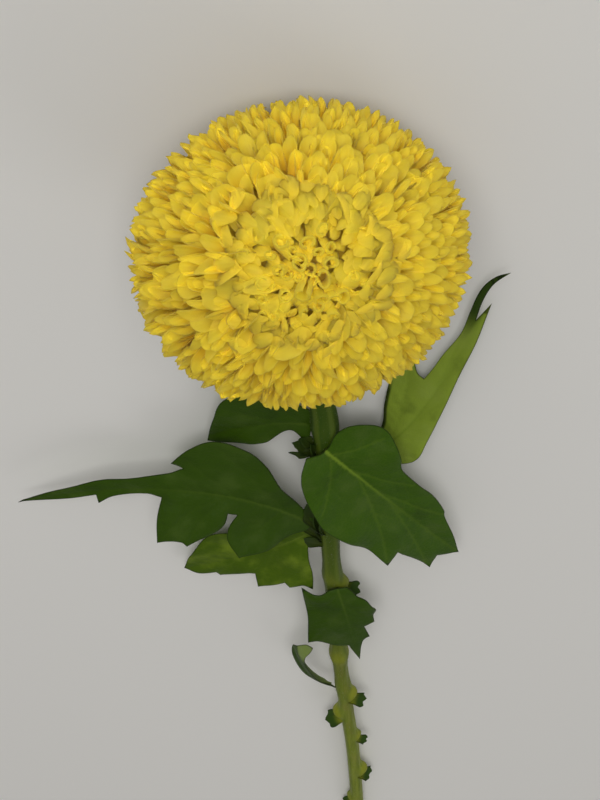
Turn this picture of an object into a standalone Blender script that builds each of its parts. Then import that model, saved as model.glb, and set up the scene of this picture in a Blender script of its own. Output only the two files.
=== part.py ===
"""A cut stem of a yellow ball chrysanthemum, laid down on a table. Metres, +Z up.

The stem runs along -Y. Its neck nods, so the bloom rests on a small flat spot and
faces up and away from the stem. The origin is the middle of that flat spot.
Lengths are written in millimetres and turned into metres by MM.
"""

import math
import random

import bmesh
import bpy
from mathutils import Matrix, Vector, geometry

MM = 0.001
GAP = 0.3  # between pieces that touch
SEED = 33

# The bloom: a flattened ball on an axis that leans away from the stem
BLOOM_WIDE = 80.6
BLOOM_TALL = 72.4
BLOOM_FRONT = 34.0  # from its widest section to the eye
BLOOM_BACK = 26.0  # from its widest section to the stem
BLOOM_LEAN = 40.0  # degrees from upright, towards +Y
BLOOM_SIDE_LEAN = 4.6  # degrees towards +X
BLOOM_TURN = 9.0  # degrees that its widest line is turned about its axis
FLAT_DEPTH = 1.2  # how much of its underside is pressed flat

# Its florets: scoops that leave a hidden core and lie like tiles round the eye.
# Three values are at the root, near the tip and at the tip.
FLORETS = 300
FLORET_DEPTHS = (0.69, 0.91, 1.0)  # share of the bloom's size
FLORET_HALF_WIDTHS = (1.2, 3.2, 1.9)
FLORET_CUPS = (0.5, 1.2, 0.7)  # how far the edges stand up from the middle
FLORET_THICK = 1.2
FLORET_LEAN = 12.0  # degrees between its root and its tip, seen from the bloom's middle
FLORET_TWIST = 14.0  # degrees, at most, that it turns about its own length
LAST_FLORET = 141.0  # degrees from the eye
EYE = 30.0  # degrees from the eye's middle, within which florets become crowded, upright quills
EYE_CROWDING = 1.2  # how many more of them there are at the eye's middle, for the same area
QUILL_SIZE = 0.62  # of a floret's width, at the eye's middle
QUILL_THICK = 3.0
CORE_SHARE = 0.77  # of the bloom's size
CORE_END = 18.0  # how far behind the widest section the core is cut flat

# The green cup of bracts behind the bloom: (depth below its top, radius)
CUP_PROFILE = ((0.0, 11.5), (1.2, 11.5), (3.2, 8.2), (5.4, 4.4))
BRACTS = 13
BRACT_PATH = ((4.2, 5.0), (2.2, 10.6), (0.8, 13.6))
OUTER_BRACT_SHIFT = ((0.3, 0.0), (0.9, 0.0), (-0.6, 0.9))  # every second bract lies over its neighbours
BRACT_HALF_WIDTHS = (1.2, 2.3, 0.9)
BRACT_CUPS = (0.3, 0.5, 0.3)
BRACT_THICK = 0.9

# The stem, as points along its middle. Its neck starts straight behind the cup.
NECK_STRAIGHT = 2.2
STEM_POINTS = (
    (-4.9, -32.0, 6.4),
    (-4.0, -42.0, 5.2),
    (-1.4, -66.0, 7.0),
    (3.7, -94.0, 9.0),
    (6.8, -164.0, 10.0),
    (10.9, -231.0, 8.5),
    (16.2, -289.0, 6.2),
    (18.7, -328.0, 3.9),
    (20.2, -355.0, 2.5),
)
STEM_RADII = ((0.0, 3.7), (90.0, 3.5), (150.0, 2.6), (220.0, 2.35), (360.0, 2.3))  # by distance along it
STEM_RIBS = 5
RIB_HEIGHT = 0.25
STEM_STEP = 9.0
NECK_LENGTH = 40.0
NECK_STEP = 4.0
NODES = ((-99.0, 0.5), (-111.0, 0.4), (-145.0, 0.7), (-171.0, 0.8), (-221.0, 1.3), (-243.0, 0.7))  # y, swelling
NODE_SPREAD = 3.5

# Remains of stripped leaves: y on the stem, degrees round it from +X, length, half width
STUBS = (
    (-109.0, 176.0, 7.0, 3.0),
    (-179.0, -6.0, 6.4, 2.5),
    (-250.0, 4.0, 6.0, 3.0),
    (-262.0, 178.0, 6.6, 4.0),
    (-282.0, 6.0, 3.6, 1.8),
    (-309.0, 2.0, 3.6, 4.6),
    (-335.0, 176.0, 3.6, 1.8),
)
STUB_PATH = (0.2, 0.6, 1.0)  # share of its length
STUB_WIDTHS = (0.45, 1.0, 0.7)  # share of its width
STUB_CUPS = (0.2, 0.5, 0.3)
STUB_THICK = 1.0
STUB_ROLL = 57.0  # degrees that its blade is turned from lying flat

# Leaves. midrib: four points that steer it, from the stem to the tip. tilt: degrees that its right side is
# raised at the base and at the tip. fold: degrees that both sides rise from the midrib.
# outline: (share of the midrib, millimetres to the right of it), from the stem round the right side to the tip.
LEAF_THICK = 0.7
RIB_DEPTH = 0.9
LEAVES = {
    "leaf_left_top": dict(
        midrib=((0.3, -99.2, 8.5), (-8.3, -98.0, 8.5), (-18.0, -100.5, 7.5), (-29.0, -109.7, 4.5)),
        tilt=(-4, -8),
        fold=8,
        outline=(
            (0.0, 1.2), (0.03, 5.3), (0.13, 8.2), (0.24, 10.8), (0.34, 11.9), (0.49, 14.7), (0.67, 12.9),
            (0.81, 7.3), (0.96, 1.5), (1.03, -1.3), (0.91, -4.1), (0.77, -6.1), (0.66, -6.9),
            (0.53, -6.7), (0.39, -4.9), (0.28, -3.2), (0.19, -2.5), (0.1, -3.4), (0.0, -2.8),
        ),
    ),
    "leaf_left_large": dict(
        midrib=((1.7, -144.5, 10.5), (-24.0, -118.5, 13.5), (-57.0, -120.5, 13.0), (-86.5, -138.5, 7.0)),
        tilt=(-15, -8),
        fold=8,
        outline=(
            (0.0, 1.2), (0.06, 2.2), (0.17, 8.7), (0.25, 15.7), (0.31, 20.2), (0.39, 21.6), (0.45, 17.4),
            (0.49, 11.0), (0.455, 9.0), (0.5, 6.2), (0.6, 5.4), (0.69, 4.9), (0.81, 3.2), (1.0, 0.0),
            (0.83, -1.6), (0.735, -1.4), (0.735, -4.2), (0.68, -2.3), (0.57, -1.8), (0.52, -3.0),
            (0.54, -10.5), (0.545, -18.8), (0.44, -18.1), (0.41, -19.4), (0.33, -15.1), (0.285, -10.0),
            (0.285, -5.5), (0.25, -5.5), (0.26, -10.5), (0.24, -15.4), (0.16, -19.6), (0.11, -17.0),
            (0.07, -13.3), (0.05, -8.0), (0.02, -3.5), (0.0, -1.2),
        ),
    ),
    "leaf_left_low": dict(
        midrib=((2.7, -150.0, 8.5), (-7.4, -161.5, 7.5), (-23.0, -169.2, 6.0), (-39.4, -178.5, 3.5)),
        tilt=(-8, -8),
        fold=5,
        outline=(
            (0.0, 1.2), (0.06, 2.2), (0.12, 2.9), (0.18, 6.1), (0.32, 10.1), (0.47, 12.1), (0.69, 13.0),
            (0.89, 6.2), (1.0, 0.0), (0.93, -3.4), (0.84, -5.0), (0.83, -6.7), (0.74, -6.9),
            (0.65, -7.4), (0.61, -8.5), (0.65, -14.1), (0.57, -14.4), (0.47, -14.3), (0.46, -16.4),
            (0.39, -17.9), (0.37, -20.9), (0.32, -14.6), (0.26, -7.1), (0.21, -2.6), (0.1, -1.3),
            (0.0, -1.2),
        ),
    ),
    "leaf_right_large": dict(
        midrib=((4.2, -103.7, 14.2), (15.0, -114.5, 16.5), (28.0, -133.5, 15.0), (46.0, -163.0, 8.0)),
        tilt=(18, 12),
        fold=8,
        outline=(
            (0.0, 1.2), (-0.06, 5.0), (0.0, 10.1), (0.13, 14.4), (0.28, 17.3), (0.39, 18.9), (0.54, 17.4),
            (0.67, 16.3), (0.81, 16.7), (0.78, 11.2), (0.9, 10.3), (0.98, 9.9), (0.94, 4.9), (1.0, 0.0),
            (0.88, -4.2), (0.76, -7.4), (0.73, -8.8), (0.61, -10.3), (0.5, -10.3), (0.38, -10.7),
            (0.31, -13.4), (0.23, -15.5), (0.16, -16.6), (0.09, -16.0), (0.02, -14.0), (-0.03, -10.7),
            (-0.04, -6.0), (0.0, -1.2),
        ),
    ),
    "leaf_right_tall": dict(
        midrib=((8.0, -111.5, 7.5), (25.0, -125.5, 4.5), (34.0, -94.0, 4.5), (50.5, -40.0, 7.0)),
        tilt=(14, 36),
        fold=6,
        outline=(
            (0.0, 1.2), (0.18, 1.5), (0.25, 6.0), (0.31, 8.5), (0.38, 8.5), (0.45, 7.0), (0.54, 5.5),
            (0.63, 4.2), (0.72, 2.9), (0.83, 1.8), (0.92, -0.2), (0.87, -1.4), (0.92, -2.4), (0.96, -2.2),
            (1.0, 0.0), (0.975, -2.8), (0.94, -4.3), (0.88, -3.8), (0.82, -3.0), (0.75, -4.0),
            (0.7, -4.3), (0.655, -4.8), (0.66, -7.0), (0.7, -10.3), (0.72, -12.5), (0.59, -12.5),
            (0.48, -9.5), (0.36, -5.5), (0.22, -4.0), (0.16, -1.6), (0.0, -1.2),
        ),
    ),
    "leaf_front_small": dict(
        midrib=((9.0, -174.8, 14.4), (11.4, -184.0, 16.2), (14.0, -198.0, 16.0), (17.0, -218.5, 13.0)),
        tilt=(6, 6),
        fold=-10,
        outline=(
            (0.0, 1.1), (0.03, 5.0), (0.01, 8.1), (-0.1, 11.0), (0.1, 11.6), (0.4, 12.5), (0.71, 15.0),
            (0.72, 11.7), (0.8, 6.7), (0.81, 2.2), (1.0, 0.0), (0.79, -2.6), (0.76, -5.2), (0.61, -4.4),
            (0.57, -8.6), (0.39, -9.2), (0.22, -5.8), (0.08, -2.6), (0.0, -1.1),
        ),
    ),
    "leaf_thin": dict(
        midrib=((8.9, -242.5, 9.0), (2.7, -239.5, 10.0), (-2.8, -227.0, 11.0), (-5.1, -213.0, 11.0)),
        tilt=(35, 35),
        fold=10,
        outline=(
            (0.0, 0.9), (0.3, 1.8), (0.6, 3.4), (0.85, 3.4), (1.0, 0.6), (0.9, -1.5), (0.63, -2.0),
            (0.37, -1.8), (0.0, -0.9),
        ),
    ),
}
LEAF_RIB_HALF_WIDTH = 2.4
LEAF_RIB_FADE = 0.8  # how much of the rib's depth is gone at the tip
INNER_STEP = 6.5  # between a leaf's inner points
INNER_MARGIN = 2.2  # from its outline to those points
INNER_REACH = 26.0  # how far from the midrib they go

MATERIALS = {  # colour, roughness
    "florets": ((0.72, 0.50, 0.03), 0.55),
    "bracts": ((0.10, 0.16, 0.03), 0.6),
    "stem": ((0.10, 0.15, 0.03), 0.5),
    "leaf": ((0.035, 0.08, 0.012), 0.45),
}


def material(name):
    colour, roughness = MATERIALS[name]
    made = bpy.data.materials.new(name)
    made.use_nodes = True
    shader = made.node_tree.nodes["Principled BSDF"]
    shader.inputs["Base Color"].default_value = (*colour, 1.0)
    shader.inputs["Roughness"].default_value = roughness
    return made


def add_object(name, points, faces, finish=None, collection=None):
    """One closed mesh object from points in millimetres."""
    mesh = bpy.data.meshes.new(name)
    mesh.from_pydata([Vector(p) * MM for p in points], [], faces)
    shape = bmesh.new()
    shape.from_mesh(mesh)
    bmesh.ops.recalc_face_normals(shape, faces=shape.faces)
    shape.to_mesh(mesh)
    shape.free()
    made = bpy.data.objects.new(name, mesh)
    if finish:
        mesh.materials.append(finish)
    (collection or bpy.context.scene.collection).objects.link(made)
    return made


def bloom_frame():
    """The bloom's widest, upright and facing directions, as the columns of a matrix."""
    lean, side = math.radians(BLOOM_LEAN), math.radians(BLOOM_SIDE_LEAN)
    facing = Vector((math.sin(side), math.sin(lean) * math.cos(side), math.cos(lean) * math.cos(side)))
    wide = (Vector((1, 0, 0)) - facing * facing.x).normalized()
    wide.rotate(Matrix.Rotation(math.radians(BLOOM_TURN), 3, facing))
    return Matrix((wide, facing.cross(wide), facing)).transposed()


def bloom_centre(frame):
    """Where the ball's middle is when its pressed underside is at the origin."""
    down = frame.transposed() @ Vector((0, 0, -1))
    half = Vector((BLOOM_WIDE / 2, BLOOM_TALL / 2, BLOOM_BACK))
    pull = Vector(h * d for h, d in zip(half, down))
    lowest = frame @ Vector(h * p for h, p in zip(half, pull)) / pull.length
    return Vector((-lowest.x, -lowest.y, -lowest.z - FLAT_DEPTH))


FRAME = bloom_frame()
CENTRE = bloom_centre(FRAME)


def skin(polar, around, share=1.0):
    """A point of the bloom's outer shape, by its angle from the eye and its angle round the axis."""
    way = Vector(
        (math.sin(polar) * math.cos(around), math.sin(polar) * math.sin(around), math.cos(polar))
    )
    depth = BLOOM_FRONT if way.z > 0 else BLOOM_BACK
    reach = math.hypot(2 * way.x / BLOOM_WIDE, 2 * way.y / BLOOM_TALL, way.z / depth)
    return CENTRE + FRAME @ way * share / reach


def uprightness(polar):
    """1 at the eye's middle, 0 outside the eye."""
    return max(0.0, 1 - polar / math.radians(EYE))


def floret_angles(count):
    """Angles from the eye that spread the florets evenly over the bloom's area, and closer in the eye."""
    steps = 400
    last = math.radians(LAST_FLORET)
    covered = [0.0]
    for i in range(steps):
        polar = last * (i + 0.5) / steps
        radius = (skin(polar, 0.8) - CENTRE).length
        crowding = 1 + EYE_CROWDING * uprightness(polar)
        covered.append(covered[-1] + radius * radius * math.sin(polar) * crowding)
    angles = []
    step = 0
    for i in range(count):
        wanted = covered[-1] * (i + 0.5) / count
        while covered[step + 1] < wanted:
            step += 1
        part = (wanted - covered[step]) / (covered[step + 1] - covered[step])
        angles.append(last * (step + part) / steps)
    return angles


def blade(path, side, face, half_widths, cups, thick):
    """Points and faces of a thin scoop along a path: its edges stand up from its middle on the side it faces."""
    points = []
    for middle, half_width, cup in zip(path, half_widths, cups):
        points.append(middle - side * half_width + face * cup)
        points.append(middle - face * thick / 2)
        points.append(middle + side * half_width + face * cup)
        points.append(middle + face * thick / 2)
    faces = []
    for a in range(0, len(points) - 4, 4):
        b = a + 4
        for edge, mid in ((0, 1), (2, 1), (2, 3), (0, 3)):
            faces.append((a + edge, a + mid, b + mid))
            faces.append((a + edge, b + mid, b + edge))
    last = len(points) - 4
    for end in (0, last):
        faces.append((end, end + 1, end + 3))
        faces.append((end + 1, end + 2, end + 3))
    return points, faces


def floret(polar, around, upright, draw):
    """One floret, from a tile that faces the eye (upright 0) to a straight quill (upright 1)."""
    lean = math.radians(FLORET_LEAN) * (1 - upright) * draw.uniform(0.7, 1.25)
    size = (1 - (1 - QUILL_SIZE) * upright) * draw.uniform(0.88, 1.12)
    reach = draw.uniform(0.975, 1.0)
    root_depth, middle_depth, tip_depth = FLORET_DEPTHS
    root = skin(polar - lean, around, root_depth)
    middle = skin(polar - 0.35 * lean, around, middle_depth * reach)
    tip = skin(polar, around, tip_depth * reach)
    along = (tip - root).normalized()
    facing = FRAME @ Vector((0, 0, 1))
    side = facing.cross(tip - CENTRE).normalized()
    side.rotate(Matrix.Rotation(math.radians(draw.uniform(-FLORET_TWIST, FLORET_TWIST)), 3, along))
    side = (side - along * side.dot(along)).normalized()
    face = side.cross(along).normalized()
    if face.dot(facing) < 0:
        face = -face
    half_widths = [width * size for width in FLORET_HALF_WIDTHS]
    cups = [cup * size * (1 - upright) for cup in FLORET_CUPS]
    thick = FLORET_THICK + (QUILL_THICK - FLORET_THICK) * upright
    return blade((root, middle, tip), side, face, half_widths, cups, thick)


def bloom_core():
    """The smaller ball that the florets grow from, cut flat where the cup of bracts meets it."""
    shape = bmesh.new()
    bmesh.ops.create_icosphere(shape, subdivisions=3, radius=1.0)
    for corner in shape.verts:
        depth = BLOOM_FRONT if corner.co.z > 0 else BLOOM_BACK
        corner.co.x *= CORE_SHARE * BLOOM_WIDE / 2
        corner.co.y *= CORE_SHARE * BLOOM_TALL / 2
        corner.co.z *= CORE_SHARE * depth
    cut = bmesh.ops.bisect_plane(
        shape,
        geom=shape.verts[:] + shape.edges[:] + shape.faces[:],
        plane_co=(0, 0, -CORE_END),
        plane_no=(0, 0, -1),
        clear_outer=True,
    )
    rim = [item for item in cut["geom_cut"] if isinstance(item, bmesh.types.BMEdge)]
    bmesh.ops.contextual_create(shape, geom=rim)
    bmesh.ops.triangulate(shape, faces=shape.faces)
    points = [CENTRE + FRAME @ corner.co for corner in shape.verts]
    faces = [tuple(corner.index for corner in face.verts) for face in shape.faces]
    shape.free()
    return points, faces


def apply_boolean(target, operation, solver, other=None, collection=None):
    cut = target.modifiers.new("joined", "BOOLEAN")
    cut.operation = operation
    cut.solver = solver
    if collection:
        cut.operand_type = "COLLECTION"
        cut.collection = collection
    else:
        cut.object = other
    graph = bpy.context.evaluated_depsgraph_get()
    joined = bpy.data.meshes.new_from_object(target.evaluated_get(graph))
    target.modifiers.clear()
    target.data = joined


def keep_largest_body(target):
    """Drops loose scraps, and the inner skins that would leave sealed hollows."""
    shape = bmesh.new()
    shape.from_mesh(target.data)
    unseen = set(shape.verts)
    bodies = []
    while unseen:
        body = [unseen.pop()]
        for corner in body:
            for edge in corner.link_edges:
                other = edge.other_vert(corner)
                if other in unseen:
                    unseen.discard(other)
                    body.append(other)
        bodies.append(body)
    bodies.sort(key=len)
    for body in bodies[:-1]:
        bmesh.ops.delete(shape, geom=body, context="VERTS")
    shape.to_mesh(target.data)
    shape.free()


def fuse(target, blades, finish):
    """Joins every blade to the target in one union, and removes the loose blades."""
    loose = bpy.data.collections.new("loose")
    bpy.context.scene.collection.children.link(loose)
    for number, (points, faces) in enumerate(blades):
        add_object(f"blade_{number}", points, faces, finish, loose)
    apply_boolean(target, "UNION", "MANIFOLD", collection=loose)
    for made in list(loose.objects):
        bpy.data.objects.remove(made)
    bpy.data.collections.remove(loose)
    keep_largest_body(target)


def lowest_place():
    """The angle from the eye, and the angle round the axis, of the bloom's lowest point."""
    way = (FRAME.transposed() @ -CENTRE).normalized()
    return math.acos(way.z), math.atan2(way.y, way.x)


def build_bloom(finish):
    """Florets in a golden-angle spiral on their core, pressed flat where they rest on the table."""
    draw = random.Random(SEED)
    bloom = add_object("bloom", *bloom_core(), finish)
    turn = math.pi * (3 - math.sqrt(5))
    places = []
    for number, polar in enumerate(floret_angles(FLORETS)):
        places.append((polar, number * turn, uprightness(polar)))
    low = skin(*lowest_place())
    nearest = min(range(FLORETS), key=lambda number: (skin(*places[number][:2]) - low).length)
    places[nearest] = (*lowest_place(), 1.0)  # so that a flat floret end is at the origin
    fuse(bloom, [floret(*place, draw) for place in places], finish)
    bpy.ops.mesh.primitive_cube_add(size=200 * MM, location=(0, 0, -100 * MM))
    table = bpy.context.active_object
    apply_boolean(bloom, "DIFFERENCE", "MANIFOLD", other=table)
    bpy.data.objects.remove(table)
    keep_largest_body(bloom)


def behind(distance):
    """The point on the bloom's axis this far behind its widest section."""
    return CENTRE - FRAME @ Vector((0, 0, distance))


def lofted(rings):
    """A closed skin through rings of equally many points, with its two ends filled."""
    count = len(rings[0])
    points = [point for ring in rings for point in ring]
    faces = []
    for a in range(0, len(points) - count, count):
        for i in range(count):
            j = (i + 1) % count
            faces.append((a + i, a + j, a + count + j, a + count + i))
    faces.append(tuple(range(count)))
    faces.append(tuple(range(len(points) - count, len(points))))
    return points, faces


def build_bracts(finish):
    """A shallow cup with a row of pointed bracts that lie against the bloom's underside."""
    top = CORE_END + GAP
    sides = 2 * BRACTS
    rings = []
    for depth, radius in CUP_PROFILE:
        ring = []
        for i in range(sides):
            around = 2 * math.pi * i / sides
            spoke = Vector((math.cos(around), math.sin(around), 0))
            ring.append(behind(top + depth) + FRAME @ spoke * radius)
        rings.append(ring)
    cup = add_object("bracts", *lofted(rings), finish)
    blades = []
    for i in range(BRACTS):
        around = 2 * math.pi * (i + 0.5) / BRACTS
        spoke = FRAME @ Vector((math.cos(around), math.sin(around), 0))
        side = FRAME @ Vector((-math.sin(around), math.cos(around), 0))
        path = []
        for (depth, radius), (lower, wider) in zip(BRACT_PATH, OUTER_BRACT_SHIFT):
            if i % 2:
                depth, radius = depth + lower, radius + wider
            path.append(behind(top + depth) + spoke * radius)
        face = side.cross(path[2] - path[1]).normalized()
        if face.dot(spoke) > 0:
            face = -face
        blades.append(blade(path, side, face, BRACT_HALF_WIDTHS, BRACT_CUPS, BRACT_THICK))
    fuse(cup, blades, finish)


def curve_point(points, place):
    """A point on the smooth curve through the given points: place counts them, with a fraction."""
    first = min(int(place), len(points) - 2)
    part = place - first
    before = points[max(first - 1, 0)]
    start, end = points[first], points[first + 1]
    after = points[min(first + 2, len(points) - 1)]
    gap = (end - start).length
    pull_in = (end - before) * gap / ((end - start).length + max((start - before).length, 1e-6))
    pull_out = (after - start) * gap / ((end - start).length + max((after - end).length, 1e-6))
    square, cube = part * part, part * part * part
    return (
        start * (2 * cube - 3 * square + 1)
        + pull_in * (cube - 2 * square + part)
        + end * (3 * square - 2 * cube)
        + pull_out * (cube - square)
    )


def stem_line():
    """Evenly spaced points along the stem's middle, with the distance of each from the bloom."""
    top = CORE_END + GAP + CUP_PROFILE[-1][0] + GAP
    points = [behind(top), behind(top + NECK_STRAIGHT)] + [Vector(point) for point in STEM_POINTS]
    fine = []
    for i in range(len(points) - 1):
        for part in range(20):
            fine.append(curve_point(points, i + part / 20))
    fine.append(points[-1])
    line = []
    distance = 0.0
    wanted = 0.0
    for here, after in zip(fine, fine[1:]):
        span = (after - here).length
        while wanted <= distance + span:
            line.append((here.lerp(after, (wanted - distance) / span), wanted))
            wanted += NECK_STEP if wanted < NECK_LENGTH else STEM_STEP
        distance += span
    line.append((points[-1], distance))
    return line


def stem_radius(distance, y):
    """The stem's radius: it tapers away from the bloom and swells at each node."""
    for (near, thick), (far, thin) in zip(STEM_RADII, STEM_RADII[1:]):
        if near <= distance <= far:
            part = (distance - near) / (far - near)
            radius = thick + (thin - thick) * part
            break
    else:
        radius = STEM_RADII[-1][1]
    swelling = sum(extra * math.exp(-(((y - node) / NODE_SPREAD) ** 2)) for node, extra in NODES)
    return radius + swelling


def stem_sections():
    """(middle, distance from the bloom, direction) at every section of the stem."""
    line = stem_line()
    for i, (middle, distance) in enumerate(line):
        before = line[max(i - 1, 0)][0]
        after = line[min(i + 1, len(line) - 1)][0]
        way = after - before if i else behind(1) - behind(0)
        yield middle, distance, way.normalized()


def stem_at(y):
    """The stem's middle, radius and direction where it passes this y."""
    line = list(stem_sections())
    for (here, distance, way), (after, _, _) in zip(line, line[1:]):
        if after.y <= y <= here.y:
            return here.lerp(after, (here.y - y) / (here.y - after.y)), stem_radius(distance, y), way
    raise ValueError(f"the stem does not reach y {y}")


def stub(y, round_angle, length, half_width):
    """The short remains of a leaf, rooted in the stem, with its face turned up and towards the bloom."""
    middle, radius, way = stem_at(y)
    across = way.cross(Vector((0, 0, 1))).normalized()
    up = across.cross(way)
    angle, roll = math.radians(round_angle), math.radians(STUB_ROLL)
    out = (up * math.sin(angle) - across * math.cos(angle)).normalized()
    flat = out.cross(way).normalized()
    if flat.z < 0:
        flat = -flat
    side = way * math.cos(roll) + flat * math.sin(roll)
    face = flat * math.cos(roll) - way * math.sin(roll)
    path = [middle + out * (radius + length) * share for share in STUB_PATH]
    half_widths = [half_width * share for share in STUB_WIDTHS]
    return blade(path, side, face, half_widths, STUB_CUPS, STUB_THICK)


def build_stem(finish):
    """A ribbed stem with the stubs of stripped leaves. The cut end is finished square."""
    sides = 2 * STEM_RIBS
    rings = []
    for middle, distance, way in stem_sections():
        level = way.cross(Vector((1, 0, 0))).normalized()
        across = level.cross(way).normalized()
        radius = stem_radius(distance, middle.y)
        ring = []
        for i in range(sides):
            around = 2 * math.pi * (i + 0.5) / sides
            reach = radius + RIB_HEIGHT * (i % 2 - 0.5)
            point = middle + (across * math.cos(around) + level * math.sin(around)) * reach
            point.z = max(point.z, 0.0)
            ring.append(point)
        rings.append(ring)
    stem = add_object("stem", *lofted(rings), finish)
    fuse(stem, [stub(*sizes) for sizes in STUBS], finish)


def leaf_place(leaf, share, aside):
    """A leaf's middle surface: the point there, and the leaf's upward direction."""
    p = [Vector(point) for point in leaf["midrib"]]
    c = min(max(share, 0.0), 1.0)
    r = 1 - c
    middle = p[0] * r**3 + p[1] * 3 * c * r * r + p[2] * 3 * c * c * r + p[3] * c**3
    run = (p[1] - p[0]) * 3 * r * r + (p[2] - p[1]) * 6 * c * r + (p[3] - p[2]) * 3 * c * c
    middle = middle + run * (share - c)
    way = run.normalized()
    side = way.cross(Vector((0, 0, 1))).normalized()
    up = side.cross(way)
    tilt = math.radians(leaf["tilt"][0] + (leaf["tilt"][1] - leaf["tilt"][0]) * c)
    fold = math.radians(leaf["fold"])
    across = side * math.cos(tilt) + up * math.sin(tilt)
    lift = up * math.cos(tilt) - side * math.sin(tilt)
    return middle + across * aside * math.cos(fold) + lift * abs(aside) * math.sin(fold), lift


def seated(leaf):
    """The same leaf with the end of its stalk a small gap clear of the stem."""
    base = Vector(leaf["midrib"][0])
    middle, radius, way = stem_at(base.y)
    out = base - middle
    out = (out - way * out.dot(way)).normalized()
    edge = leaf["outline"][0][1]
    corners = []
    for aside, depth in ((-edge, 0.0), (0.0, RIB_DEPTH), (edge, 0.0)):
        place, up = leaf_place(leaf, 0, aside)
        corners.append(place + up * LEAF_THICK / 2)
        corners.append(place - up * (LEAF_THICK / 2 + depth))
    nearest = min((corner - middle).dot(out) for corner in corners)
    first = base + out * (radius + RIB_HEIGHT / 2 + GAP - nearest)
    return dict(leaf, midrib=(tuple(first),) + leaf["midrib"][1:])


def midrib_length(leaf):
    points = [leaf_place(leaf, i / 30, 0)[0] for i in range(31)]
    return sum((b - a).length for a, b in zip(points, points[1:]))


def inside(point, outline):
    """Is the flat point well within the outline?"""
    crossings = 0
    nearest = 1e9
    for a, b in zip(outline, outline[1:] + outline[:1]):
        if (a.y > point.y) != (b.y > point.y):
            if point.x < a.x + (b.x - a.x) * (point.y - a.y) / (b.y - a.y):
                crossings += 1
        run = b - a
        part = min(max((point - a).dot(run) / run.length_squared, 0.0), 1.0)
        nearest = min(nearest, (point - a - run * part).length)
    return crossings % 2 == 1 and nearest > INNER_MARGIN


def build_leaf(name, leaf, finish):
    """A thin plate with the leaf's outline, bent along its midrib, with the rib standing out below."""
    length = midrib_length(leaf)
    outline = [Vector((share * length, aside)) for share, aside in leaf["outline"]]
    inner = []
    rows = int(INNER_REACH / INNER_STEP)
    for i in range(1, int(length / INNER_STEP) + 1):
        for j in range(-rows, rows + 1):
            point = Vector((i * INNER_STEP, j * INNER_STEP))
            if inside(point, outline):
                inner.append(point)
    edges = [(i, (i + 1) % len(outline)) for i in range(len(outline))]
    flat, _, triangles, *_ = geometry.delaunay_2d_cdt(outline + inner, edges, [], 1, 1e-4)
    above, below = [], []
    for point in flat:
        place, up = leaf_place(leaf, point.x / length, point.y)
        along = min(max(point.x / length, 0), 1)
        on_rib = max(0.0, 1 - abs(point.y) / LEAF_RIB_HALF_WIDTH) * (1 - LEAF_RIB_FADE * along)
        above.append(place + up * LEAF_THICK / 2)
        below.append(place - up * (LEAF_THICK / 2 + RIB_DEPTH * on_rib))
    count = len(flat)
    faces = [tuple(face) for face in triangles]
    faces += [tuple(corner + count for corner in reversed(face)) for face in triangles]
    sides = {(face[i], face[(i + 1) % 3]) for face in triangles for i in range(3)}
    for a, b in sorted(sides):
        if (b, a) not in sides:
            faces.append((b, a, a + count))
            faces.append((b, a + count, b + count))
    made = add_object(name, above + below, faces, finish)
    made.data.shade_smooth()
    made.data.set_sharp_from_angle(angle=math.radians(40))


def main():
    for old in list(bpy.data.objects):
        bpy.data.objects.remove(old)
    finishes = {name: material(name) for name in MATERIALS}
    build_bloom(finishes["florets"])
    build_bracts(finishes["bracts"])
    build_stem(finishes["stem"])
    for name, leaf in LEAVES.items():
        build_leaf(name, seated(leaf), finishes["leaf"])


main()
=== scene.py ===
"""The looks of a cut yellow ball chrysanthemum that lies on a table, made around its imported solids.

The frame is the solids' own: the stem runs along -Y, the bloom faces up and away from it, +Z is up.
Lengths are written in millimetres and turned into metres by MM.
"""

import math

import bpy
import numpy as np
from mathutils import Matrix, Vector, geometry


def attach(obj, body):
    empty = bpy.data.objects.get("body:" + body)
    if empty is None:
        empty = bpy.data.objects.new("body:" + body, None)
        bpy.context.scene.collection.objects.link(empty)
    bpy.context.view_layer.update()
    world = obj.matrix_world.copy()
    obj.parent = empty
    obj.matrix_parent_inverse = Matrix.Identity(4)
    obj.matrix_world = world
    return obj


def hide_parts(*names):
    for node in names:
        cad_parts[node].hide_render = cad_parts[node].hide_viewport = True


MM = 0.001
GAP = 0.3  # between pieces that meet, as the solids have it
SEED = 33
SHARP = 60.0  # degrees: an edge that turns more than this looks sharp

# The bloom's form, as the solids have it
BLOOM_WIDE = 80.6
BLOOM_TALL = 72.4
BLOOM_FRONT = 34.0  # from its widest section to the eye
BLOOM_BACK = 26.0  # from its widest section to the stem
BLOOM_LEAN = 40.0  # degrees from upright, towards +Y
BLOOM_SIDE_LEAN = 4.6  # degrees towards +X
BLOOM_TURN = 9.0  # degrees that its widest line is turned about its axis
FLAT_DEPTH = 1.2  # how much of its underside is pressed flat
CORE_SHARE = 0.84  # of the bloom's size
EYE_CORE_SHARE = 0.89  # the same at the eye
CORE_END = 18.0  # how far behind the widest section the core is cut flat

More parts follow.
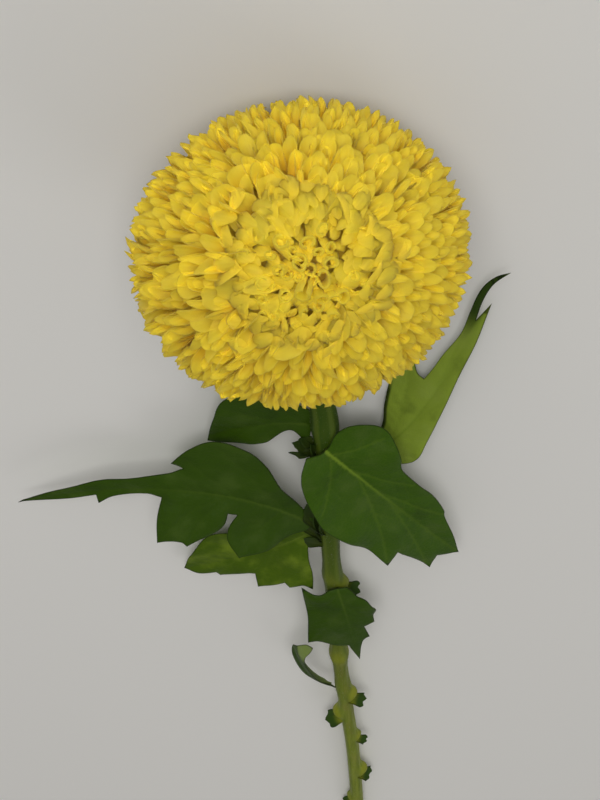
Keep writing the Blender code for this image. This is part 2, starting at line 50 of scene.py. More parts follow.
# The florets
FLORETS = 2000  # places tried
LAST_FLORET = 146.0  # degrees from the eye
EYE = 28.0  # degrees from its middle, within which places are closer together and fitted in one by one
EYE_CROWDING = 9.0  # how many times as many places are tried there as on as much of the bloom elsewhere
FLORET_LEAN = (10.0, 15.0)  # degrees that a floret leans outward
FLORET_REACH = (0.95, 1.0)  # share of the bloom's size that it reaches
FLORET_WIDTHS = np.array((0.42, 0.65, 0.92, 1.0, 0.94))  # shares of its widest, from its root to its tip
ROLLED_END = 34.0  # degrees from the eye's middle, up to which florets are rolled more than farther out
INNER_END = 62.0  # degrees from the eye, where one piece of florets ends and the next starts
BACK_START = 96.0  # degrees from the eye, from where they are seen only from behind
SPIRAL_SHAKE = 0.012  # radians that a place is off the spiral, towards the eye or away from it
SPIRAL_SHAKE_ROUND = 0.014  # the same round the eye
PATH_POINTS = 25  # along a floret's middle line
SECTION_POINTS = 65  # across the strip that is rolled up
FLORET_ROOT = 0.66  # share of the bloom's size where a floret starts
FLORET_THICK = 0.32
QUILL_THICK = 0.75
QUILL_LIP = 0.3  # how far its rounded mouth reaches on, as a share of its thickness
QUILL_WIDTHS = np.array((0.5, 0.62, 0.78, 0.9, 1.0))
QUILL_ARCS = (2.9, 2.95, 2.95, 2.9)  # half the angle that it is rolled to, but for its mouth

# The eye's own quills: degrees from its middle, degrees round it, half width when opened flat, how flat
# the mouth is pressed, degrees that it is turned, degrees that it leans outward, and the share of the bloom
# that it reaches
EYE_QUILLS = (
    (15.5, 136.0, 3.4, 0.85, 100.0, 2.0, 1.0),
    (22.0, 141.0, 3.0, 0.8, 160.0, 5.0, 0.99),
    (11.9, 94.0, 3.4, 0.62, 10.0, 2.0, 1.0),
    (16.2, 65.0, 2.7, 0.5, 70.0, 3.0, 0.99),
    (8.0, 24.0, 3.3, 0.72, 70.0, 1.0, 1.0),
    (6.6, 326.0, 4.4, 0.6, 30.0, 0.0, 1.005),
    (6.0, 154.0, 3.2, 0.62, 60.0, 0.0, 1.0),
    (10.3, 282.0, 3.4, 0.6, 170.0, 3.0, 1.0),
    (12.8, 302.0, 2.7, 0.5, 150.0, 3.0, 0.995),
    (16.7, 315.0, 3.2, 0.85, 40.0, 3.0, 0.99),
    (13.7, 228.0, 2.5, 0.42, 80.0, 4.0, 0.99),
    (7.8, 68.0, 2.3, 0.4, 30.0, 1.0, 0.995),
    (19.0, 292.0, 2.6, 0.7, 130.0, 4.0, 0.985),
    (10.8, 238.0, 3.6, 0.85, 0.0, 11.0, 1.025),
)
QUILL_ROOM = 1.9  # degrees that each of these takes up on each side

# The rest of the eye: a low layer of small lobes, smaller quills, and petals that bend in over it. Farther
# out more and more florets that lean outward are mixed in with the petals, until there are only those.
FILLING_END = 10.0  # degrees from the eye's middle, up to which there are smaller quills
FILLING_ROOM = 2.2  # degrees that each of those takes up on each side
INCURVED_ROOM = 1.8  # the same for the petals
FLORET_ROOM = 2.3  # the same for the florets that lean outward
LOBE_ROOM = 1.6  # the same for the lobes, among themselves
FILLING_REACH = (0.97, 0.99)  # share of the bloom's size that a smaller quill reaches
LOBES_END = 22.0  # degrees from the eye's middle, up to which there are lobes
LOBE_SIZE = 0.72  # of a petal's
LOBE_DEPTH = 0.026  # how much less of the bloom's size a lobe reaches
INCURVED_START = 5.0  # degrees from the eye's middle, from where the petals grow
INCURVED_END = 24.0  # degrees from it where half of them lean outward
INCURVED_MIXED = 4.0  # degrees: how far from there one kind still grows among the other
MIXING = (10.0, 20.0)  # degrees from the eye's middle between which they start to mix
INCURVED_LEFT = 10.0  # degrees that they go on farther out on the left side
INCURVED_SWAY = 3.0  # degrees that their end goes in and out
INCURVED_LEAN = (10.0, 19.0)  # degrees that they bend in
INCURVED_REACH = (0.962, 0.99)  # share of the bloom's size that they reach in the eye
INCURVED_RISE = 0.02  # how much more of it they reach farther out
RISING = (6.0, 18.0)  # degrees from the eye's middle between which they start to reach more
INCURVED_HALF = (2.3, 3.4)  # half their flat width
INCURVED_WIDTHS = np.array((0.5, 0.65, 0.9, 1.0, 0.9))
# Painted bounce light: these tones make the backs of the petals that bend in over the eye warmer and
# brighter than the other florets.
BOUNCE_LIT_BACK_TONES = (1.2, 1.6)  # their tones, which are warmer than the other florets'
INCURVED_BODY = (4.0, 8.0)  # degrees behind its tip where such a petal keeps clear of the eye's own quills
LAID_END = 54.0  # degrees from the eye's middle, up to which florets lie over more than farther out

# The kinds of florets that lean outward: how common each is where they grow wild and where they lie calm,
# half its flat width, half the angle that it is rolled to, how keeled it is, where its end turns (below 1 it
# is laid back, above 1 hooded over), how much its corners are cut, how blunt that leaves it, and how far it
# ripples
FLORET_KINDS = (
    dict(
        wild=0.28, calm=0.56, half=2.35, arc=(0.75, 1.3), keel=0.6, end=(0.4, 0.75), cut=(0.18, 0.36),
        blunt=(1.5, 2.8), wave=0.35,
    ),
    dict(
        wild=0.30, calm=0.26, half=2.2, arc=(1.1, 1.7), keel=2.6, end=(0.6, 0.95), cut=(0.22, 0.42),
        blunt=(1.3, 2.2), wave=0.35,
    ),
    dict(
        wild=0.24, calm=0.12, half=2.3, arc=(1.0, 1.6), keel=1.0, end=(1.1, 1.4), cut=(0.18, 0.3),
        blunt=(1.8, 3.0), wave=0.35,
    ),
    dict(
        wild=0.18, calm=0.06, half=3.1, arc=(0.5, 1.0), keel=0.3, end=(0.5, 1.2), cut=(0.14, 0.28),
        blunt=(1.8, 3.2), wave=0.8,
    ),
)
RIM_HALF = 1.85  # half the flat width of those that make the bloom's outline
RIM_START = (55.0, 75.0)  # degrees from the eye between which florets become such ones
RIM_END = (100.0, 115.0)  # and between which they stop being so
HANGING = (80.0, 140.0)  # degrees from the eye between which florets turn to hang back
CALM_SIDE = (-0.15, 0.5)  # shares of the way to the right edge between which the bloom turns smoother
SWAY_WAVES = 5
SWAY_PITCH = 9.0  # radians per bloom radius: how small the clumps of florets that lean together are

# The green cup of bracts behind the bloom, and its rows: how many bracts, how far from the axis they start,
# and their length
CUP_DEPTH = 5.4
BRACT_ROWS = ((13, 4.6, 9.5), (13, 4.2, 8.0), (11, 3.8, 6.0))

# The stem: a straight neck, and below it the points that its middle goes through
NECK_STRAIGHT = 2.2
STEM_POINTS = (
    (-4.9, -32.0, 6.4),
    (-4.0, -42.0, 5.2),
    (-1.4, -66.0, 7.0),
    (3.7, -94.0, 9.0),
    (6.8, -164.0, 10.0),
    (10.9, -231.0, 8.5),
    (16.2, -289.0, 6.2),
    (18.7, -328.0, 3.9),
    (20.2, -355.0, 2.5),
)
STEM_RADII = ((0.0, 3.7), (90.0, 3.5), (150.0, 2.6), (220.0, 2.35), (360.0, 2.3))  # by distance along it
STEM_RIBS = 5
RIB_HEIGHT = 0.25
STEM_STEP = 1.5
STEM_SIDES = 40
STEM_GRAIN = 0.035  # how uneven its surface is
CUT_DEPTH = 0.3  # how far the middle of the cut end is sunk
CUT_RINGS = ((0.82, 0.0), (0.74, 0.15), (0.4, 0.25))  # on the cut end: share of the radius, how far sunk
# The nodes: y, swelling
NODES = ((-99.0, 0.5), (-111.0, 0.4), (-145.0, 0.5), (-172.0, 0.6), (-221.0, 0.9), (-243.0, 0.4))
NODE_SPREAD = 4.5

# Remains of stripped leaves: y on the stem, degrees round it from +X, length, half width
STUBS = (
    (-181.0, -6.0, 7.0, 3.2),
    (-252.0, 4.0, 5.6, 3.0),
    (-265.0, 178.0, 6.6, 3.6),
    (-284.0, 6.0, 4.0, 2.0),
    (-313.0, 2.0, 4.4, 3.4),
    (-338.0, 176.0, 3.8, 2.0),
)
STUB_ROLL = 52.0  # degrees that its blade is turned from lying flat
STUB_DROOP = 25.0  # degrees that it leans away from the bloom
BUD_AHEAD = 3.2  # how far towards the bloom from each of them the stem is swollen by its bud
BUD_SWELLING = 0.75  # of its half width: how far the stem is swollen there

# Young leaves in the leaf axils: y on the stem, degrees round it, length, half width, degrees that each
# leans towards the bloom, degrees that its blade is turned
AXIL_LEAVES = (
    (-149.0, 172.0, 16.0, 3.6, 74.0, 20.0),
    (-149.0, 146.0, 13.0, 3.0, 76.0, -10.0),
    (-153.0, 178.0, 12.0, 2.8, 60.0, 35.0),
    (-148.0, 120.0, 10.0, 2.4, 72.0, 10.0),
    (-155.0, 160.0, 9.0, 2.4, 45.0, 0.0),
    (-113.0, 168.0, 12.0, 2.8, 66.0, 20.0),
    (-111.0, 140.0, 9.0, 2.4, 72.0, -15.0),
    (-112.0, 60.0, 6.0, 1.7, 60.0, 10.0),
    (-111.0, 178.0, 8.5, 2.8, 8.0, 40.0),
    (-109.0, 172.0, 8.0, 2.6, 28.0, 5.0),
    (-107.0, 165.0, 6.5, 2.4, 45.0, -25.0),
)

# The stem's down
HAIRS = 5200
HAIR_LONG = 0.55
HAIR_THICK = 0.035  # from its middle
HAIR_ROOT = 0.12  # how deep it starts in the stem

# Leaves. look: its colours, if they aren't the dark ones. midrib: four points that steer it, from the stem
# to the tip. tilt: degrees that its right side is raised at the base and at the tip. fold: degrees that both
# sides rise from the midrib. outline: (share of the midrib, millimetres to the right of it), from the stem
# round the right side to the tip and back. veins: (share of the midrib where it starts, share and
# millimetres to the right where it ends), one for each lobe.
LEAVES = {
    "leaf_left_top": dict(
        midrib=((-0.6, -99.3, 8.3), (-8.3, -98.0, 8.5), (-18.0, -100.5, 7.5), (-29.0, -109.7, 4.5)),
        tilt=(-4, -8),
        fold=8,
        outline=(
            (-0.05, 1.8), (-0.01, 5.3), (0.13, 8.2), (0.24, 10.8), (0.34, 11.9), (0.49, 14.7), (0.67, 12.9),
            (0.81, 7.3), (0.96, 1.5), (1.03, -1.3), (0.91, -4.1), (0.77, -6.1), (0.66, -6.9),
            (0.53, -6.7), (0.39, -4.9), (0.28, -3.4), (0.19, -3.0), (0.1, -4.2), (0.02, -5.4),
            (-0.05, -4.6),
        ),
        veins=((0.08, 0.45, 12.6), (0.3, 0.7, 10.0), (0.2, 0.6, -5.6), (0.45, 0.85, -4.0)),
    ),
    "leaf_left_large": dict(
        midrib=((1.0, -144.5, 10.6), (-24.0, -118.5, 13.5), (-57.0, -120.5, 13.0), (-86.5, -138.5, 7.0)),
        tilt=(-15, -8),
        fold=8,
        outline=(
            (0.0, 2.4), (0.05, 3.0), (0.17, 8.7), (0.25, 15.7), (0.31, 20.2), (0.39, 21.6), (0.45, 17.4),
            (0.49, 11.0), (0.455, 9.0), (0.5, 6.2), (0.6, 5.4), (0.69, 4.9), (0.81, 3.2), (1.0, 0.0),
            (0.83, -1.6), (0.735, -1.4), (0.735, -4.2), (0.68, -2.3), (0.57, -1.8), (0.52, -3.0),
            (0.54, -10.5), (0.545, -18.8), (0.44, -18.1), (0.41, -19.4), (0.33, -15.1), (0.285, -10.0),
            (0.285, -5.5), (0.25, -5.5), (0.26, -10.5), (0.24, -15.4), (0.16, -19.6), (0.11, -17.0),
            (0.07, -13.3), (0.045, -8.0), (0.015, -4.5), (0.0, -2.6),
        ),
        veins=(
            (0.1, 0.38, 19.0), (0.27, 0.45, 13.0), (0.12, 0.16, -17.5), (0.3, 0.52, -17.0),
            (0.3, 0.4, -16.5),
        ),
    ),
    "leaf_left_low": dict(
        look="young",
        midrib=((2.0, -150.0, 8.2), (-7.4, -161.5, 7.5), (-23.0, -169.2, 6.0), (-39.4, -178.5, 3.5)),
        tilt=(-8, -8),
        fold=5,
        outline=(
            (-0.02, 1.8), (0.05, 2.6), (0.12, 3.4), (0.18, 6.1), (0.32, 10.1), (0.47, 12.1), (0.69, 13.0),
            (0.89, 6.2), (1.0, 0.0), (0.93, -3.4), (0.84, -5.0), (0.83, -6.7), (0.74, -6.9),
            (0.65, -7.4), (0.61, -8.5), (0.65, -14.1), (0.57, -14.4), (0.47, -14.3), (0.46, -16.4),
            (0.39, -17.9), (0.36, -20.9), (0.29, -15.0), (0.22, -8.2), (0.15, -3.8), (0.06, -2.2),
            (0.0, -1.8),
        ),
        veins=(
            (0.15, 0.47, 10.5), (0.4, 0.72, 10.5), (0.14, 0.38, -17.5), (0.35, 0.6, -12.5),
            (0.6, 0.82, -5.6),
        ),
    ),
    "leaf_right_large": dict(
        look="wide",
        midrib=((4.2, -103.7, 14.5), (15.0, -114.5, 16.5), (28.0, -133.5, 15.0), (46.0, -163.0, 8.0)),
        tilt=(18, 12),
        fold=8,
        outline=(
            (0.0, 1.2), (-0.06, 5.0), (0.0, 10.1), (0.13, 14.4), (0.28, 17.3), (0.39, 18.9), (0.54, 17.4),
            (0.67, 16.3), (0.81, 16.7), (0.78, 11.2), (0.9, 10.3), (0.98, 9.9), (0.94, 4.9), (1.0, 0.0),
            (0.88, -4.2), (0.76, -7.4), (0.73, -8.8), (0.61, -10.3), (0.5, -10.3), (0.38, -10.7),
            (0.31, -13.4), (0.23, -15.5), (0.16, -16.6), (0.09, -16.0), (0.02, -14.0), (-0.03, -10.7),
            (-0.04, -6.0), (0.0, -1.2),
        ),
        veins=(
            (0.04, 0.3, 15.5), (0.04, 0.17, -14.5), (0.26, 0.77, 15.0), (0.2, 0.5, -9.0), (0.5, 0.94, 9.3),
            (0.42, 0.75, -7.8),
        ),
    ),
    "leaf_right_tall": dict(
        look="light",
        midrib=((9.3, -111.4, 6.7), (25.0, -125.5, 4.5), (34.0, -94.0, 4.5), (50.5, -40.0, 7.0)),
        tilt=(14, 36),
        fold=6,
        outline=(
            (0.0, 1.2), (0.18, 1.5), (0.25, 6.0), (0.31, 8.5), (0.38, 8.5), (0.45, 7.0), (0.54, 5.5),
            (0.63, 4.2), (0.72, 2.9), (0.83, 1.8), (0.92, -0.2), (0.87, -1.4), (0.92, -2.4), (0.96, -2.2),
            (1.0, 0.0), (0.975, -2.8), (0.94, -4.3), (0.88, -3.8), (0.82, -3.0), (0.75, -4.0),
            (0.7, -4.3), (0.655, -4.8), (0.66, -7.0), (0.7, -10.3), (0.72, -12.5), (0.59, -12.5),
            (0.48, -9.5), (0.36, -5.5), (0.22, -4.0), (0.16, -1.6), (0.0, -1.2),
        ),
        veins=((0.18, 0.36, 7.2), (0.3, 0.68, -10.5), (0.45, 0.62, 3.2), (0.6, 0.86, -2.8)),
    ),
    "leaf_front_small": dict(
        midrib=((8.9, -174.8, 14.1), (11.4, -184.0, 16.2), (14.0, -198.0, 16.0), (17.0, -218.5, 13.0)),
        tilt=(6, 6),
        fold=-10,
        outline=(
            (-0.01, 2.5), (0.03, 5.5), (0.01, 8.1), (-0.1, 11.0), (0.1, 11.6), (0.4, 12.5), (0.71, 15.0),
            (0.72, 11.7), (0.8, 6.7), (0.81, 2.2), (1.0, 0.0), (0.79, -2.6), (0.76, -5.2), (0.61, -4.4),
            (0.59, -8.0), (0.5, -8.3), (0.42, -9.6), (0.33, -8.6), (0.25, -7.6), (0.17, -5.2), (0.08, -4.2),
            (0.0, -3.0),
        ),
        veins=((0.05, 0.3, 10.6), (0.25, 0.68, 12.6), (0.2, 0.5, -7.4), (0.45, 0.75, -3.9)),
    ),
    "leaf_thin": dict(
        look="thin",
        midrib=((8.0, -242.6, 9.3), (2.7, -239.5, 10.0), (-2.8, -227.0, 11.0), (-5.1, -213.0, 11.0)),
        tilt=(35, 35),
        fold=10,
        outline=(
            (-0.08, 0.4), (0.12, 0.5), (0.25, 1.3), (0.42, 2.4), (0.6, 3.2), (0.8, 3.7), (0.95, 5.4),
            (1.08, 8.4), (1.22, 11.0), (1.19, 8.0), (1.13, 5.0), (1.07, 2.6), (1.03, 0.6), (0.98, -0.6),
            (0.78, -2.0), (0.5, -2.2), (0.3, -1.4), (0.12, -0.5), (-0.08, -0.4),
        ),
        veins=(),
    ),
}

# The leaves' colours. Some also say how far from the stem something is: rolled_end, where the painted shade
# of the rolled left edge ends; curl_start, where the pale curled end starts; tip_start, where the dark tip
# starts.
LEAF_LOOKS = {
    "dark": dict(upper=(0.035, 0.080, 0.002), patch=(0.060, 0.110, 0.012), midrib=(0.068, 0.122, 0.010)),
    "wide": dict(upper=(0.044, 0.106, 0.003), patch=(0.070, 0.130, 0.014), midrib=(0.21, 0.32, 0.025)),
    "light": dict(
        upper=(0.27, 0.375, 0.038), patch=(0.30, 0.40, 0.058), midrib=(0.15, 0.24, 0.015),
        lower=(0.046, 0.100, 0.004), rolled_end=56.0, tip_start=74.0,
    ),
    "thin": dict(
        upper=(0.035, 0.080, 0.004), patch=(0.060, 0.110, 0.016), midrib=(0.068, 0.122, 0.010),
        curl_start=27.0,
    ),
    "young": dict(upper=(0.068, 0.128, 0.003), patch=(0.22, 0.31, 0.022), midrib=(0.14, 0.21, 0.018)),
}
LEAF_THICK = 0.45
MIDRIB_FADES = 0.8  # share of the leaf's length at which its midrib no longer looks lighter
LEAF_STEP = 0.85  # between a leaf's mesh points
GRID_SHAKE = 0.06  # how far these are off an even grid
RIM_CLEAR = 0.3  # how far from the edge the mesh's vein lines end
VEIN_GAP = 5  # mesh steps from one fine vein to the next
VEIN_TURN = (0.75, 0.95)  # radians that it turns away from the vein it branches off
VEIN_LONG = (5.0, 9.0)  # how long it grows if nothing stops it
VEIN_APART = 1.1  # mesh steps from another vein at which it stops
VEIN_EDGE = 0.8  # how far from the leaf's edge it stops
QUILT_FINE = 0.2  # how far the blade swells up between fine veins
QUILT_MAIN = 0.3  # and between the main ones
EDGE_DOWN = 0.4  # how far its edge turns down
MIDRIB_HIGH = 1.25  # how far the midrib stands out below, at the stem
VEIN_HIGH = 0.35  # the same for the main veins
FINE_VEIN_HIGH = 0.12  # and for the fine ones
BLADE_CLEAR = 0.25  # least height of its upper side over the table
CORNER = 50.0  # degrees: an outline that turns more than this has a sharp point there

# What all leaves have: a lower side, unless its colour is their own, dark patches above, paler veins below
# and a dark line along the edge. Then the painted shade of a rolled edge, the colours of a curled end and a
# dark tip, and over how many millimetres each of these fades in.
LEAF_LOWER = (0.13, 0.18, 0.05)
LEAF_DARK_PATCH = (0.012, 0.030, 0.002)
BRANCHES_BELOW = (0.16, 0.20, 0.06)
MIDRIB_BELOW = (0.18, 0.22, 0.07)
LEAF_RIM = (0.006, 0.010, 0.002)
# painted shade of the rolled left edge
ROLLED_EDGE_SHADE = (0.008, 0.016, 0.002)
ROLLED_FADE = 6.0
CURLED_END = (0.24, 0.33, 0.07)
CURLED_FADE = 5.0
DARK_TIP = (0.030, 0.062, 0.004)
DARK_TIP_FADE = 9.0

FLORET_COLOURS = dict(
    # base: the roots' darker, more orange colour, painted shade deep between the florets
    base=(0.70, 0.41, 0.016),
    tip=(0.71, 0.56, 0.037),
    pale=(0.74, 0.595, 0.050),
    # back: warmer and brighter, painted bounce light
    back=(0.82, 0.625, 0.043),  # of the petals that bend in over the eye
    # edge: lighter along each floret's edges, a painted highlight
    edge=(0.81, 0.67, 0.075),
    line=(0.71, 0.52, 0.028),
    patch=(0.74, 0.605, 0.042),
)
STEM_COLOURS = dict(
    top=(0.040, 0.084, 0.004),
    low=(0.25, 0.30, 0.032),
    blotch=(0.27, 0.25, 0.055),
    # end: the stem's lower end, greener, and darker as painted shadow
    end=(0.10, 0.135, 0.014),
    rib=(0.15, 0.20, 0.02),
    streak=(0.07, 0.11, 0.008),
    yellowed=(0.27, 0.30, 0.018),
    pith=(0.42, 0.44, 0.24),
)
STEM_TURNS = (80.0, 290.0)  # how far from the bloom its colour turns from the top's to the lower one
STEM_END_TURNS = (310.0, 360.0)  # and to that of its end
STEM_YELLOWS = (100.0, 200.0)  # where its swollen places start to be yellowed

GREEN_LINE = (0.025, 0.045, 0.008)
DRY_RIM = (0.14, 0.11, 0.05)
DARK_RIM = (0.010, 0.022, 0.003)
# The other greens: at the base, at the tip, along the rim, and the shares of the length between which the
# first turns into the second
GREENS = {
    "bracts": ((0.10, 0.15, 0.035), (0.07, 0.11, 0.025), DRY_RIM, (0.2, 1.0)),
    "remains": ((0.22, 0.25, 0.016), (0.030, 0.070, 0.005), DARK_RIM, (0.15, 0.6)),
    "young_leaves": ((0.045, 0.066, 0.008), (0.024, 0.050, 0.005), DARK_RIM, (0.2, 1.0)),
    "down": ((0.42, 0.46, 0.30), (0.50, 0.53, 0.38), DRY_RIM, (0.2, 1.0)),
}

# Soft lamps: where each is in metres, the size of its square and its power
LAMPS = (
    ("key", (-0.2, 1.3, 0.7), 1.0, 3.5),
    ("front", (-0.1, 1.8, 2.05), 1.5, 26.5),
    ("fill", (1.3, -1.0, 1.2), 1.0, 3.0),
)
WORLD_STRENGTH = 0.225
WORLD_COLOUR = (1.0, 0.985, 0.95)
FLOOR_COLOUR = (0.93, 0.915, 0.88)
FLOOR_HALF = 3000.0  # half of its side
LAMPS_FACE = (0.0, -0.05, 0.03)  # the place that the lamps are turned to, in metres

# The camera, which sees the flower as the photograph does
CAMERA_PLACE = (-2.8, 276.5, 308.5)
CAMERA_DOWN = 39.4  # degrees that it looks down
PIXEL_SLOPE = 0.00058  # how wide a pixel is, as a share of the distance
PICTURE_TALL = 800
SENSOR_WIDE = 36.0


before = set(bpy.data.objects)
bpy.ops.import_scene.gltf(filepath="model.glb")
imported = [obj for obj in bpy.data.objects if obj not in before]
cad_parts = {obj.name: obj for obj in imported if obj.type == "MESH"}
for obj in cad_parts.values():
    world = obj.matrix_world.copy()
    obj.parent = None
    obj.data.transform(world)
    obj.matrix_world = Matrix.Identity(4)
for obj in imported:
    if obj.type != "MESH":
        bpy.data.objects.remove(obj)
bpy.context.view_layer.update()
rng = np.random.default_rng(SEED)


def add_camera():
    """The camera looks down on the bloom from its side, turned so that the bloom is at the top."""
    down = math.radians(CAMERA_DOWN)
    right = Vector((1, 0, 0))
    back = Vector((0, math.cos(down), math.sin(down)))
    camera = bpy.data.objects.new("camera", bpy.data.cameras.new("camera"))
    bpy.context.scene.collection.objects.link(camera)
    turn = Matrix((right, back.cross(right), back)).transposed().to_4x4()
    camera.matrix_world = Matrix.Translation(Vector(CAMERA_PLACE) * MM) @ turn
    camera.data.sensor_width = SENSOR_WIDE
    camera.data.lens = SENSOR_WIDE / (PICTURE_TALL * PIXEL_SLOPE)
    camera.data.clip_start = 0.01
    bpy.context.scene.camera = camera


# Meshes


def add_mesh(name, points, faces, finish, values=None):
    """An object from points in millimetres. values: each attribute's number or vector for each point."""
    mesh = bpy.data.meshes.new(name)
    mesh.from_pydata((np.asarray(points, float) * MM).tolist(), [], [list(face) for face in faces])
    for key, value in (values or {}).items():
        value = np.asarray(value, np.float32)
        kind, field = ("FLOAT", "value") if value.ndim == 1 else ("FLOAT_VECTOR", "vector")
        mesh.attributes.new(key, kind, "POINT").data.foreach_set(field, value.ravel())
    mesh.shade_smooth()
    mesh.set_sharp_from_angle(angle=math.radians(SHARP))
    mesh.materials.append(finish)
    made = bpy.data.objects.new(name, mesh)
    bpy.context.scene.collection.objects.link(made)
    return made


def dress(made, slot, *nodes):
    """Says what the piece rides on and which solids it stands for; slot is not used."""
    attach(made, "root")
    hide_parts(*nodes)


class Shells:
    """Closed thin shells gathered into one mesh: florets, bracts, leaf remains and young leaves."""

    def __init__(self):
        self.points = []
        self.faces = []
        self.places = []
        self.count = 0

    def add(self, inner, outer, places):
        """inner, outer: rows by columns of points on the two sides. places: the same for the attribute."""
        rows, columns, _ = inner.shape
        number = np.arange(rows * columns).reshape(rows, columns) + self.count
        far = number + rows * columns
        quads = np.stack([number[:-1, :-1], number[:-1, 1:], number[1:, 1:], number[1:, :-1]], -1)
        backs = np.stack([far[:-1, :-1], far[1:, :-1], far[1:, 1:], far[:-1, 1:]], -1)
        rim = np.concatenate([number[0, :], number[1:, -1], number[-1, -2::-1], number[-2:0:-1, 0]])
        after = np.roll(rim, -1)
        edge = np.stack([rim, rim + rows * columns, after + rows * columns, after], -1)
        self.points += [inner.reshape(-1, 3), outer.reshape(-1, 3)]
        self.faces += [quads.reshape(-1, 4), backs.reshape(-1, 4), edge]
        self.places += [places.reshape(-1, 3)] * 2
        self.count += 2 * rows * columns

    def mesh(self, name, finish):
        values = {"place": np.concatenate(self.places)}
        return add_mesh(name, np.concatenate(self.points), np.concatenate(self.faces), finish, values)


def unit(vectors):
    return vectors / np.maximum(np.linalg.norm(vectors, axis=-1, keepdims=True), 1e-9)


def near(value, width):
    """1 where the value is 0, fading away over the width."""
    return np.exp(-((value / width) ** 2))


def bezier(controls, share):
    """Points on the curve with four controls, for an array of shares."""
    c = np.asarray(share, float)[..., None]
    a, b, d, e = (np.asarray(control, float) for control in controls)
    return a * (1 - c) ** 3 + b * 3 * c * (1 - c) ** 2 + d * 3 * c * c * (1 - c) + e * c**3


def hermite(start, pull_in, end, pull_out, part):
    """A point on the curve between two points that leaves and meets them as the pulls say."""
    square, cube = part * part, part**3
    return (
        start * (2 * cube - 3 * square + 1)
        + pull_in * (cube - 2 * square + part)
        + end * (3 * square - 2 * cube)
        + pull_out * (cube - square)
    )


def ring_faces(rows, columns):
    """Faces between closed rings of points that are numbered one ring after the other."""
    number = np.arange(rows * columns).reshape(rows, columns)
    after = np.roll(number, -1, axis=1)
    return np.stack([number[:-1], after[:-1], after[1:], number[1:]], -1).reshape(-1, 4).tolist()


def turned(side, way, angle):
    """The side directions turned about the ways they are square to."""
    angle = np.asarray(angle)[..., None]
    return side * np.cos(angle) + np.cross(way, side) * np.sin(angle)


def rolled_section(across, arc, keel):
    """The places and the slopes of a strip rolled through twice the arc, sharper in its middle if keeled."""
    fine = np.linspace(-1, 1, SECTION_POINTS)
    middle = SECTION_POINTS // 2
    bent = fine if keel < 0.05 else np.tanh(keel * fine) / math.tanh(keel)
    slope = arc[:, None] * bent
    step = fine[1] - fine[0]
    places = []
    for run in (np.cos(slope), np.sin(slope)):
        total = np.cumsum(run, axis=1) * step
        total -= total[:, middle : middle + 1]
        places.append(np.stack([np.interp(across, fine, row) for row in total]))
    return places[0], places[1], np.stack([np.interp(across, fine, row) for row in slope])


def shell(path, side, widths, arcs, shape, tone, **more):
    """A thin scoop along a path of many points: its two sides and their places.

    side: the direction across it. widths, arcs: half its flat width, and half the angle that it is rolled
    to, at even shares of the path. shape: how much of its length is missing at each column. tone: its shade,
    0 to 1, or more for a warmer one. More: thick; rim, the share of that left at its end; twist; keel; flat,
    how much the rolled section is pressed; wave, how far its edges ripple; rows and columns of points.
    """
    form = dict(thick=FLORET_THICK, rim=0.25, twist=0.0, keel=0.0, flat=1.0, wave=0.0, rows=11, columns=9)
    form.update(more)
    rows, columns, flat = form["rows"], form["columns"], form["flat"]
    share = 1 - (1 - np.linspace(0, 1, rows)) ** 1.4
    across = np.sin(np.linspace(-1, 1, columns) * math.pi / 2)
    if form["keel"] > 0.5:
        across = 0.5 * (across + np.linspace(-1, 1, columns))
    along = share[:, None] * (1 - shape(across)[None, :] * share[:, None] ** 3)
    even = np.linspace(0, 1, len(path))
    way = unit(np.gradient(path, axis=0))
    square = unit(side - way * np.sum(side * way, axis=-1, keepdims=True))
    square = turned(square, way, form["twist"] * (0.3 + 0.7 * even))
    face = np.cross(square, way)

    def spread(values):
        return np.stack([np.interp(along, even, values[:, k]) for k in range(3)], -1)

    knots = np.linspace(0, 1, len(widths))
    half = np.interp(along, knots, widths)[..., None]
    aside, lift, slope = rolled_section(across, np.interp(share, knots, arcs), form["keel"])
    ripple = form["wave"] * np.abs(across) ** 3 * share[:, None]
    ripple = ripple * np.sin(7.0 * along + 40.0 * tone + 2.0 * np.sign(across))
    middle, right, up = spread(path), spread(square), spread(face)
    inner = middle + half * (right * aside[..., None] + up * lift[..., None] * flat)
    inner = inner + up * ripple[..., None]
    inward = unit(up * np.cos(slope)[..., None] - right * np.sin(slope)[..., None] * flat)
    sides = form["rim"] + (1 - form["rim"]) * (1 - across[None, :] ** 6)
    depth = form["thick"] * sides * (1 - (1 - form["rim"]) * along**6)
    outer = inner - inward * depth[..., None]
    places = np.stack([np.broadcast_to(across, along.shape), along, np.full(along.shape, tone)], -1)
    return inner, outer, places


def rounded_end(cut, power, notch=0.0):
    """How much of a shell's length is missing across it: its corners, and a notch in its middle."""

    def shape(across):
        return cut * np.abs(across) ** power + notch * near(across, 0.25)

    return shape


# The bloom


def bloom_frame():
    """The bloom's widest, upright and facing directions, as the columns of a matrix."""
    lean, side = math.radians(BLOOM_LEAN), math.radians(BLOOM_SIDE_LEAN)
    facing = Vector((math.sin(side), math.sin(lean) * math.cos(side), math.cos(lean) * math.cos(side)))
    wide = (Vector((1, 0, 0)) - facing * facing.x).normalized()
    wide.rotate(Matrix.Rotation(math.radians(BLOOM_TURN), 3, facing))
    return np.array(Matrix((wide, facing.cross(wide), facing)).transposed())


def bloom_centre(axes):
    """Where the ball's middle is when its pressed underside is at the origin."""
    half = np.array((BLOOM_WIDE / 2, BLOOM_TALL / 2, BLOOM_BACK))
    pull = half * (axes.T @ np.array((0, 0, -1.0)))
    lowest = axes @ (half * pull) / np.linalg.norm(pull)
    return -lowest - np.array((0, 0, FLAT_DEPTH))


AXES = bloom_frame()
CENTRE = bloom_centre(AXES)


